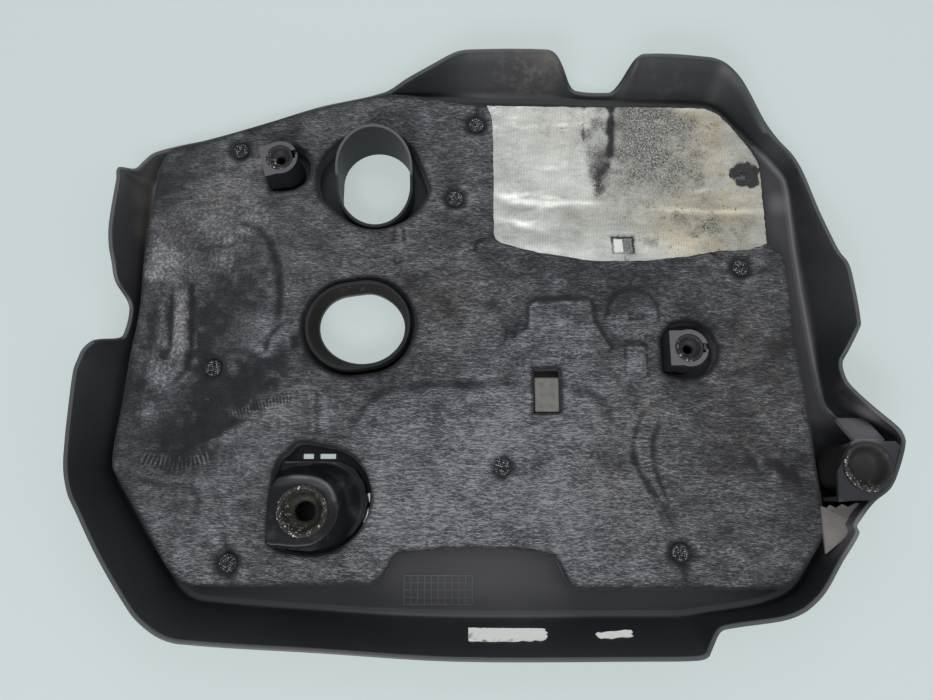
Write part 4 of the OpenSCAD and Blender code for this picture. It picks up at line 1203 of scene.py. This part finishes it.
fine = wire.grain(1500, 2, 0.6)
smear = wire.grain(38, 4, 0.65)
chip = wire.grain(260, 3, 0.7)
scuffs_and_highlights = smear.between(0.52, 0.74) * 0.10 + chip.between(0.70, 0.76) * 0.35
# painted highlights along the hood's crest and back edge
scuffs_and_highlights = (scuffs_and_highlights + wire.attribute("crest") * (0.35 + smear * 1.3)).clamped()
hood_colour = scuffs_and_highlights.mix((0.0055, 0.0060, 0.0080), (0.24, 0.24, 0.25))
feed(hood_plastic, hood_shader, Base_Color=hood_colour, Roughness=0.24 + 0.22 * smear,
     Normal=wire.bump(0.2, 0.0002, fine + smear * 2.0))
hood = mesh_piece("large_tower_hood", hood_points, hood_shape, hood_plastic)
# painted highlights along the hood's crest and back edge: strength, width in mm, line in the picture, its
# height in mm
HOOD_HIGHLIGHTS = [
    (1.0, 1.1, [(275, 480), (287, 477), (303, 477), (319, 480), (330, 488), (335, 500)], 35),
    (0.8, 0.7, [(286, 461.5), (310, 461), (334, 462.5)], 14),
    (0.35, 2.6, [(276, 483), (300, 481), (322, 486), (332, 497)], 35),
]
# painted highlights for the hood's material
crest_highlights = np.zeros(len(hood_at))
for strength, width, line, height in HOOD_HIGHLIGHTS:
    mark_gap, _ = distance(hood_at, bent(line, height))
    crest_highlights += 0.55 * strength * bell(mark_gap, width) * (0.6 + 0.4 * rolling(hood_at, 7, 15))
store(hood, "crest", crest_highlights)
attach(hood, "root")

# The filler opening's liner
# The collar round the filler opening narrows towards the show face. Its inside is dull, dark and
# oily, with a few brown scuffs along its upper edge.
sweep = np.arange(180) * math.pi / 90
# the oval mouth in the picture: its middle and half its sizes
MOUTH_MIDDLE, MOUTH_HALF = np.array([362.5, 328.5]), np.array([42.5, 35.5])
# depth inwards in mm, height in mm, how far the ring has gone over to the oval mouth
LINER_SECTION = [(-0.15, 19.9, 0), (0.35, 19.6, 0), (1.0, 14.0, 0), (2.3, 5.0, 0.7), (2.9, 2.0, 1),
                 (2.7, 0.35, 1), (-0.15, 0.3, 0)]
mouth = spots(MOUTH_MIDDLE + MOUTH_HALF * np.stack([np.cos(sweep), np.sin(sweep)], 1), 2)
mouth_middle = mouth.mean(0)
mouth_angle = np.arctan2(*(mouth - mouth_middle).T[::-1])
mouth_reach = np.linalg.norm(mouth - mouth_middle, axis=1)
liner_ring = even(round_line(FILLER, 31.5, 5.6, 98), 1.6)[::-1]
liner_rings = []
for deep, high, share in LINER_SECTION:
    from_middle = inset(liner_ring, deep) - mouth_middle
    angle = np.arctan2(*from_middle.T[::-1])
    oval = np.interp(angle, mouth_angle, mouth_reach, period=2 * math.pi)
    shrink = 1 - share + share * np.minimum(oval / np.linalg.norm(from_middle, axis=1), 1)
    liner_rings.append(level(mouth_middle + from_middle * shrink[:, None], high))
liner_faces = joined(len(liner_rings), len(liner_ring))
liner_finish, liner_shader, wire = finish_of("oily_collar")
liner_shader.inputs["Specular IOR Level"].default_value = 0.08
oil = wire.grain(60, 3, 0.6)
scuff = wire.grain(180, 4, 0.7).between(0.56, 0.70) * wire.near((*spot(352, 291, 19), 19), 24)
# painted reflection of the pale bench on the liner's foot
foot_painted_reflection = (1 - wire.coordinate(2).between(0.0022, 0.0050)) * 0.6
oil_and_reflection = foot_painted_reflection.mix(oil.mix((0.010, 0.009, 0.0085), (0.024, 0.021, 0.019)), (0.16, 0.17, 0.175))
feed(liner_finish, liner_shader, Base_Color=scuff.mix(oil_and_reflection, (0.16, 0.11, 0.07)), Roughness=0.62 + oil * 0.2)
liner = mesh_piece("filler_collar_liner", np.concatenate(liner_rings), liner_faces, liner_finish)
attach(liner, "root")

# The four grommets
# Each tower holds a moulded rubber cup that snaps over a ball stud on the engine. The cups are
# turned shapes with a rolled lip, worn bright and speckled where the studs rubbed them.
CUP_STEPS = 96
# the side from which the lamps fall, for the painted glints and the packed cup's painted lip light
LIT_SIDE = np.array([-0.75, -0.65])
# radius and height from the lip's foot in mm, up the outside, over the lip and down the bore
LARGE_CUP = [(6.8, -20), (16.2, -20), (16.3, -0.3), (17.4, 0.12), (17.75, 0.4), (17.6, 0.72), (17.0, 0.95),
             (16.2, 0.92), (15.4, 0.62), (14.7, 0.1), (14.1, -0.7), (13.4, -1.9), (12.7, -3.6), (11.8, -5.6),
             (10.4, -7.4), (8.9, -8.5), (7.6, -9.1), (7.0, -9.8), (6.8, -10.8), (6.8, -15)]
SMALL_CUP = [(3.3, -13), (10.0, -13), (10.0, -0.2), (10.0, 0.1), (9.8, 0.42), (9.3, 0.6), (8.7, 0.55),
             (8.2, 0.2), (7.7, -0.5), (7.2, -1.6), (6.6, -2.9), (5.6, -3.8), (4.4, -4.3), (3.6, -4.8),
             (3.3, -5.6), (3.3, -9)]
# a cup with a narrower lip, its bore packed with old grease
PACKED_CUP = [(0.02, -20), (16.2, -20), (16.3, -0.3), (16.8, 0.12), (16.95, 0.4), (16.8, 0.72), (16.3, 0.95),
              (15.6, 0.92), (14.8, 0.62), (14.2, 0.1), (13.6, -0.7), (12.9, -1.9), (12.2, -3.6), (11.3, -5.6),
              (10.0, -7.4), (8.7, -8.5), (5.4, -9.3), (2.6, -9.8), (0.02, -9.9)]
# node, centre, height of the lip's foot, section, wear of the lip, grime in the bowl
CUPS = [("grommet_small_left", SMALL_LEFT, 34.0, SMALL_CUP, 0.10, 0.0),
        ("grommet_small_right", SMALL_RIGHT, 34.0, SMALL_CUP, 0.10, 0.0),
        ("grommet_large_left", LARGE_LEFT, 36.35, LARGE_CUP, 1.0, 1.0),
        ("grommet_large_right", LARGE_RIGHT, 44.0, PACKED_CUP, 0.42, 0.35)]
rubber, rubber_shader, wire = finish_of("worn_rubber")
rubber_shader.inputs["Specular IOR Level"].default_value = 0.3
fleck = wire.grain(520, 4, 0.75)
grease = wire.grain(150, 4, 0.65)
worn_off = (wire.attribute("lip") * fleck.between(0.58, 0.66) * 1.1 + fleck.between(0.70, 0.80) * 0.4).clamped()
greasy = grease.between(0.35, 0.7).mix((0.008, 0.0078, 0.0072), (0.030, 0.027, 0.019))
bowl = wire.attribute("grime").mix((0.016, 0.016, 0.018), greasy)
glint = (fleck.between(0.56, 0.64) * wire.attribute("glint")).clamped()
# painted shade deep in the bore, and painted glints on the lit side
bowl = glint.mix(wire.attribute("low").mix(bowl, (0.006, 0.006, 0.006)), (0.70, 0.68, 0.60))
feed(rubber, rubber_shader, Base_Color=worn_off.mix(bowl, (0.66, 0.65, 0.58)), Roughness=0.42 + grease * 0.3,
     Normal=wire.bump(0.6, 0.0005, fleck + grease))
turn = np.arange(CUP_STEPS) * 2 * math.pi / CUP_STEPS
circle = np.stack([np.cos(turn), np.sin(turn)], 1)
for node, centre, top, cup, worn_lip, grime in CUPS:
    depth, wall, lip_radius = -cup[0][1], cup[2][0], cup[6][0]
    cup_rings = []
    for radius, drop in cup:
        wobble = np.ones(CUP_STEPS)
        if -9 < drop < 1 and radius < wall:
            wobble += 0.012 * rolling(circle * radius + centre, 2.4, 61)
        ring = centre + circle * radius * wobble[:, None]
        lift = 0.12 * rolling(ring, 1.9, 62) if drop > 0.3 else 0
        cup_rings.append(level(ring, top + drop + lift))
    cup_points = np.concatenate(cup_rings)
    grommet = mesh_piece(node + "_cup", cup_points, joined(len(cup), CUP_STEPS, True), rubber)
    radii, drops = np.repeat(np.array(cup), CUP_STEPS, axis=0).T
    side = (cup_points[:, :2] - centre) @ LIT_SIDE / lip_radius
    lip = np.where(drops > -2.5, worn_lip * np.exp(-((radii - lip_radius + 1.3) / 2.2) ** 2), 0)
    # painted shade deep in the bore
    low = np.clip((-drops - 0.42 * depth) / 3, 0, 1)
    # the packed cup's lip is lighter on its lit side, as painted light, and its bore gets less painted shade
    if cup is PACKED_CUP:
        lip, low = lip * np.clip(0.3 + 1.1 * side, 0.1, 1), low * 0.2
    store(grommet, "lip", lip)
    store(grommet, "low", low)
    store(grommet, "grime", np.full(len(cup_points), grime))
    store(grommet, "glint", np.clip(side * 1.6 - 0.2, 0, 1) * (cup_points[:, 2] > top - 8))
    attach(grommet, "root")
    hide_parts(node)

# The web by the bracket
# A thin web of the moulding closes the corner between the right bracket, the pad and the skirt; its light
# colour is dust with a painted sheen on it. Its upper edge is broken into short teeth.
WEB_SHEET = 1.6
# place in the picture, height in mm
WEB_EDGE = [(821, 506, 17), (827, 508, 19), (830, 505, 20), (836, 508, 22), (842, 504, 24), (848, 507, 26),
            (856, 503, 29), (872, 504, 35), (858, 524, 31), (842, 541, 25), (826, 554, 18), (823, 530, 17)]
web_top = np.array([[*spot(u, v, high), high] for u, v, high in WEB_EDGE])
web_points = np.concatenate([web_top, web_top - (0, 0, WEB_SHEET)])
count = len(WEB_EDGE)
web_faces = [tuple(range(count))[::-1], tuple(range(count, 2 * count))]
web_faces += [(k, (k + 1) % count, (k + 1) % count + count, k + count) for k in range(count)]
web_finish, web_shader, wire = finish_of("dust_and_sheen_web")
# dust, with a painted sheen strongest at the web's lower left
dust_and_sheen = (wire.grain(110, 4, 0.7) * 0.8 + wire.near((*spot(830, 545, 19), 19), 26) * 0.3).clamped()
feed(web_finish, web_shader, Base_Color=dust_and_sheen.mix((0.070, 0.065, 0.067), (0.190, 0.172, 0.160)), Roughness=0.7)
web = mesh_piece("bracket_web", web_points, web_faces, web_finish, False)
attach(web, "root")

# The label remnants
# Two paper labels were stuck to the front of the skirt and have been mostly torn off. What is left
# is bare paper with ragged ends and brown glue.
FRONT_OUTWARD = (0, 0.896, 0.443)
# x and distance up the skirt's front wall in mm
LABELS = {
    "label_remnant_1": [
        (-10.6, 6.2), (40.0, 6.4), (42.2, 7.3), (41.6, 9.0), (43.4, 11.0), (42.0, 13.2), (43.2, 15.0),
        (41.0, 18.6), (37.4, 20.0), (34.2, 18.9), (30.4, 20.5), (26.0, 19.6), (20.2, 20.8), (12.0, 20.3),
        (4.0, 20.9), (-4.0, 20.5), (-9.4, 20.9), (-10.8, 19.8)],
    "label_remnant_2": [
        (75.6, 12.8), (77.8, 11.2), (80.0, 12.0), (84.0, 10.4), (90.0, 10.0), (96.0, 8.6), (100.6, 8.9),
        (101.6, 11.0), (99.6, 13.0), (100.9, 15.2), (97.4, 16.6), (92.0, 16.2), (86.0, 18.0), (81.4, 17.2),
        (78.4, 17.9), (76.6, 15.6)],
}
front = []
for ring in skirt_rings[6:10]:
    ring = ring[(ring[:, 1] < -190) & (np.abs(ring[:, 0]) < 135)]
    front.append(ring[np.argsort(ring[:, 0])])


def on_front(flat, lift):
    """Places points, given as x and distance up the skirt's front wall, on that wall."""
    x, up = flat.T
    seats = [np.stack([x, np.interp(x, ring[:, 0], ring[:, 1]), np.interp(x, ring[:, 0], ring[:, 2])], 1)
             for ring in front]
    reach = np.cumsum([0] + [np.linalg.norm((b - a).mean(0)) for a, b in zip(seats, seats[1:])])
    out = np.zeros((len(flat), 3))
    for k in range(len(front) - 1):
        pick = (up >= reach[k]) | (k == 0)
        share = ((up - reach[k]) / (reach[k + 1] - reach[k]))[:, None]
        out[pick] = (seats[k] * (1 - share) + seats[k + 1] * share)[pick]
    return out + np.outer(lift, FRONT_OUTWARD)


paper, paper_shader, wire = finish_of("torn_paper")
fibre = wire.grain(700, 3, 0.7)
glue = wire.grain(95, 4, 0.7)
gluey = (glue.between(0.56, 0.68) * wire.attribute("glue")).clamped()
paper_colour = gluey.mix(fibre.mix((0.80, 0.80, 0.75), (0.93, 0.93, 0.89)), (0.16, 0.115, 0.07))
feed(paper, paper_shader, Base_Color=paper_colour, Roughness=0.85, Normal=wire.bump(0.4, 0.0002, fibre + glue))
for node, edge_line in LABELS.items():
    edge_line = even(np.array(edge_line), 0.6)
    edge_line += 0.22 * np.stack([rolling(edge_line, 1.1, 71), rolling(edge_line, 1.1, 72)], 1)
    label_at, label_faces, label_count = filled(edge_line, [], 1.1, [0.4])
    rim_gap = to_nearest(label_at, [edge_line])
    raised = 0.38 + 0.25 * bell(rim_gap, 1.6) * (0.5 + 0.5 * rolling(label_at, 4, 73))
    raised += 0.05 * rolling(label_at, 3, 74)
    label_rims = [level(label_at[:label_count], 0.06)]
    points, shape = closed_body(label_at, label_faces, [edge_line], raised, label_rims)
    label = mesh_piece(node + "_paper", on_front(points[:, :2], points[:, 2]), shape, paper)
    store(label, "glue", np.clip(1.3 - rim_gap / 3.0, 0, 1))
    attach(label, "root")
    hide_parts(node)


# The pressed heads
# Hot stakes of the moulding hold the felt down. Each was flattened by a knurled tool, which left a
# disc of small pyramids.
def grown(name, carrier_points, sizes, plan, material, smooth=False):
    """A piece made by a Geometry Nodes tree on the given points, as a plain mesh."""
    tree = bpy.data.node_groups.new(name, "GeometryNodeTree")
    sockets = tree.interface
    sockets.new_socket("Geometry", in_out="INPUT", socket_type="NodeSocketGeometry")
    named = {key: sockets.new_socket(key, in_out="INPUT", socket_type="NodeSocketFloat") for key in sizes}
    sockets.new_socket("Geometry", in_out="OUTPUT", socket_type="NodeSocketGeometry")
    start, end = tree.nodes.new("NodeGroupInput"), tree.nodes.new("NodeGroupOutput")
    wire = Wire(tree)
    shape = plan(wire, Wire(tree, start.outputs[0]), {key: Wire(tree, start.outputs[key]) for key in sizes})
    shape = wire.node("GeometryNodeRealizeInstances", None, {0: shape})
    shape = wire.node("GeometryNodeSetShadeSmooth", None, {0: shape, 2: smooth})
    shape = wire.node("GeometryNodeSetMaterial", None, {0: shape, "Material": material})
    tree.links.new(shape.socket, end.inputs[0])
    mesh = bpy.data.meshes.new(name + "_carrier")
    mesh.from_pydata((np.asarray(carrier_points, float) / 1000).tolist(), [], [])
    carrier = bpy.data.objects.new(name + "_carrier", mesh)
    scene.collection.objects.link(carrier)
    modifier = carrier.modifiers.new("growth", "NODES")
    modifier.node_group = tree
    for key, value in sizes.items():
        modifier[named[key].identifier] = float(value)
    made = bpy.data.meshes.new_from_object(carrier.evaluated_get(bpy.context.evaluated_depsgraph_get()))
    carrier.modifiers.remove(modifier)
    bpy.data.objects.remove(carrier)
    piece = bpy.data.objects.new(name, made)
    scene.collection.objects.link(piece)
    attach(piece, "root")


def set_on(wire, points, instance, turned_by=(0, 0, 0), scaled_by=(1, 1, 1)):
    """A copy of a shape on each point of the carrier."""
    dots = wire.node("GeometryNodeMeshToPoints", None, {0: points})
    return wire.node("GeometryNodeInstanceOnPoints", None, {"Points": dots, "Instance": instance,
                                                            "Rotation": turned_by, "Scale": scaled_by})


def any_between(wire, low, high, seed):
    """A random vector for each copy."""
    return wire.node("FunctionNodeRandomValue", {"data_type": "FLOAT_VECTOR"}, {0: low, 1: high, "Seed": seed})


def vector(wire, parts):
    """A vector from its X, Y and Z, given by number."""
    return wire.node("ShaderNodeCombineXYZ", None, parts)


def knurled(wire, points, size):
    """A low disc with a field of small pyramids inside its edge."""
    radius, tooth_width = size["Head radius"], size["Tooth width"]
    disc = wire.node("GeometryNodeMeshCylinder", None,
                     {"Vertices": 28, "Radius": radius, "Depth": size["Disc depth"]})
    field = wire.node("GeometryNodeMeshGrid", None, {"Size X": radius * 2, "Size Y": radius * 2,
                                                     "Vertices X": 9, "Vertices Y": 9})
    position = wire.node("GeometryNodeInputPosition")
    far = wire.node("ShaderNodeVectorMath", {"operation": "LENGTH"}, {0: position}, 1)
    outside = wire.maths("GREATER_THAN", far, radius * 0.93)
    field = wire.node("GeometryNodeDeleteGeometry", None, {0: field, 1: outside})
    tooth = wire.node("GeometryNodeMeshCone", None,
                      {"Vertices": 4, "Radius Top": tooth_width * 0.25, "Radius Bottom": tooth_width,
                       "Depth": size["Tooth height"]})
    teeth = wire.node("GeometryNodeInstanceOnPoints", None, {"Points": field, "Instance": tooth})
    raised_by = vector(wire, {2: size["Disc depth"] * 0.45})
    teeth = wire.node("GeometryNodeTransform", None, {0: teeth, "Translation": raised_by})
    head = wire.node("GeometryNodeJoinGeometry", None, {0: disc})
    wire.tree.links.new(teeth.socket, head.socket.node.inputs[0])
    return set_on(wire, points, head, any_between(wire, (0, 0, 0.1), (0, 0, 1.4), 4))


HEAD_FOOT = 13.2
HEAD_SIZES = {"Head radius": 0.0061, "Disc depth": 0.0013, "Tooth width": 0.00095, "Tooth height": 0.0009}
head_plastic, head_shader, wire = finish_of("knurled_plastic")
glint_speckle = wire.grain(480, 2, 0.7)
# painted glints on the tips of the teeth
tip_glints = (wire.coordinate(2).between(0.01385, 0.0146) * glint_speckle.between(0.46, 0.62)).clamped()
feed(head_plastic, head_shader, Base_Color=tip_glints.mix((0.008, 0.008, 0.010), (0.44, 0.44, 0.46)),
     Roughness=0.36 + glint_speckle * 0.2)
grown("pressed_heads", level(WELDS, HEAD_FOOT), HEAD_SIZES, knurled, head_plastic)

# The date grid
# A raised grid for punching the date of moulding stands on the front ledge. It is part of the
# moulding, eleven bars wide and five deep.
grid_corners = spots([(404, 575.5), (472, 575.5), (404, 604.5)], PANEL)
grid_place = (grid_corners[1] + grid_corners[2]) / 2
grid_sizes = {"Grid width": np.linalg.norm(grid_corners[1] - grid_corners[0]) / 1000,
              "Grid depth": np.linalg.norm(grid_corners[2] - grid_corners[0]) / 1000, "Bar": 0.0005}


def lattice(wire, points, size):
    """Thin raised bars: eleven across and five along."""
    parts = wire.node("GeometryNodeJoinGeometry")
    for count, width, length, axis in ((11, "Grid width", "Grid depth", 0), (5, "Grid depth", "Grid width", 1)):
        begin, step = {axis: size[width] * -0.5}, {axis: size[width] / (count - 1)}
        row = wire.node("GeometryNodeMeshLine", None,
                        {"Count": count, "Start Location": vector(wire, begin), "Offset": vector(wire, step)})
        sides = vector(wire, {axis: size["Bar"], 1 - axis: size[length], 2: size["Bar"]})
        bar = wire.node("GeometryNodeMeshCube", None, {"Size": sides})
        bars = wire.node("GeometryNodeInstanceOnPoints", None, {"Points": row, "Instance": bar})
        wire.tree.links.new(bars.socket, parts.socket.node.inputs[0])
    return set_on(wire, points, parts)


grid_plastic, grid_shader, wire = finish_of("raised_grid_plastic")
grid_colour = wire.grain(200, 3, 0.6).mix((0.050, 0.050, 0.056), (0.120, 0.120, 0.130))
feed(grid_plastic, grid_shader, Base_Color=grid_colour, Roughness=0.5)
grown("date_grid", [(*grid_place, PANEL + 0.1)], grid_sizes, lattice, grid_plastic)

# Loose fibres
# Single fibres have worked loose from the felt and lie curled on its face, most of them near its
# front right corner.
rng = np.random.default_rng(12)
strewn = rng.uniform(pad_low.min(0), pad_low.max(0), (120, 2))
gathered = spot(786, 577) + rng.normal(0, 1, (46, 2)) * (12, 6)
tuft_at = np.vstack([strewn, gathered])
tuft_at = tuft_at[inside(tuft_at, inset(pad_outline, 5.0))]
for line in pad_holes + [foil_outline]:
    tuft_at = tuft_at[depth_in(tuft_at, line) < -4]
tuft_points = level(tuft_at, PAD_TOP + looked_up(ground, tuft_at) + 0.12)


def curled(wire, points, size):
    """Short bent threads, each turned and sized at random."""
    arc = wire.node("GeometryNodeCurveArc", {"mode": "RADIUS"},
                    {"Resolution": 7, "Radius": size["Curl"], "Sweep Angle": 2.6})
    profile = wire.node("GeometryNodeCurvePrimitiveCircle", {"mode": "RADIUS"},
                        {"Resolution": 3, "Radius": size["Thread"]})
    thread = wire.node("GeometryNodeCurveToMesh", None, {0: arc, 1: profile, "Fill Caps": True})
    turned_by = any_between(wire, (-0.12, -0.12, 0), (0.12, 0.12, 6.28), 7)
    scaled_by = any_between(wire, (0.5, 0.2, 0.8), (1.6, 1.1, 1.0), 9)
    return set_on(wire, points, thread, turned_by, scaled_by)


FIBRE_SIZES = {"Curl": 0.0017, "Thread": 0.00010}
fibre_finish, fibre_shader, wire = finish_of("loose_fibre")
fibre_colour = wire.grain(150, 2, 0.5).between(0.3, 0.7).mix((0.12, 0.12, 0.125), (0.36, 0.36, 0.35))
feed(fibre_finish, fibre_shader, Base_Color=fibre_colour, Roughness=0.8)
grown("loose_fibres", tuft_points, FIBRE_SIZES, curled, fibre_finish, True)
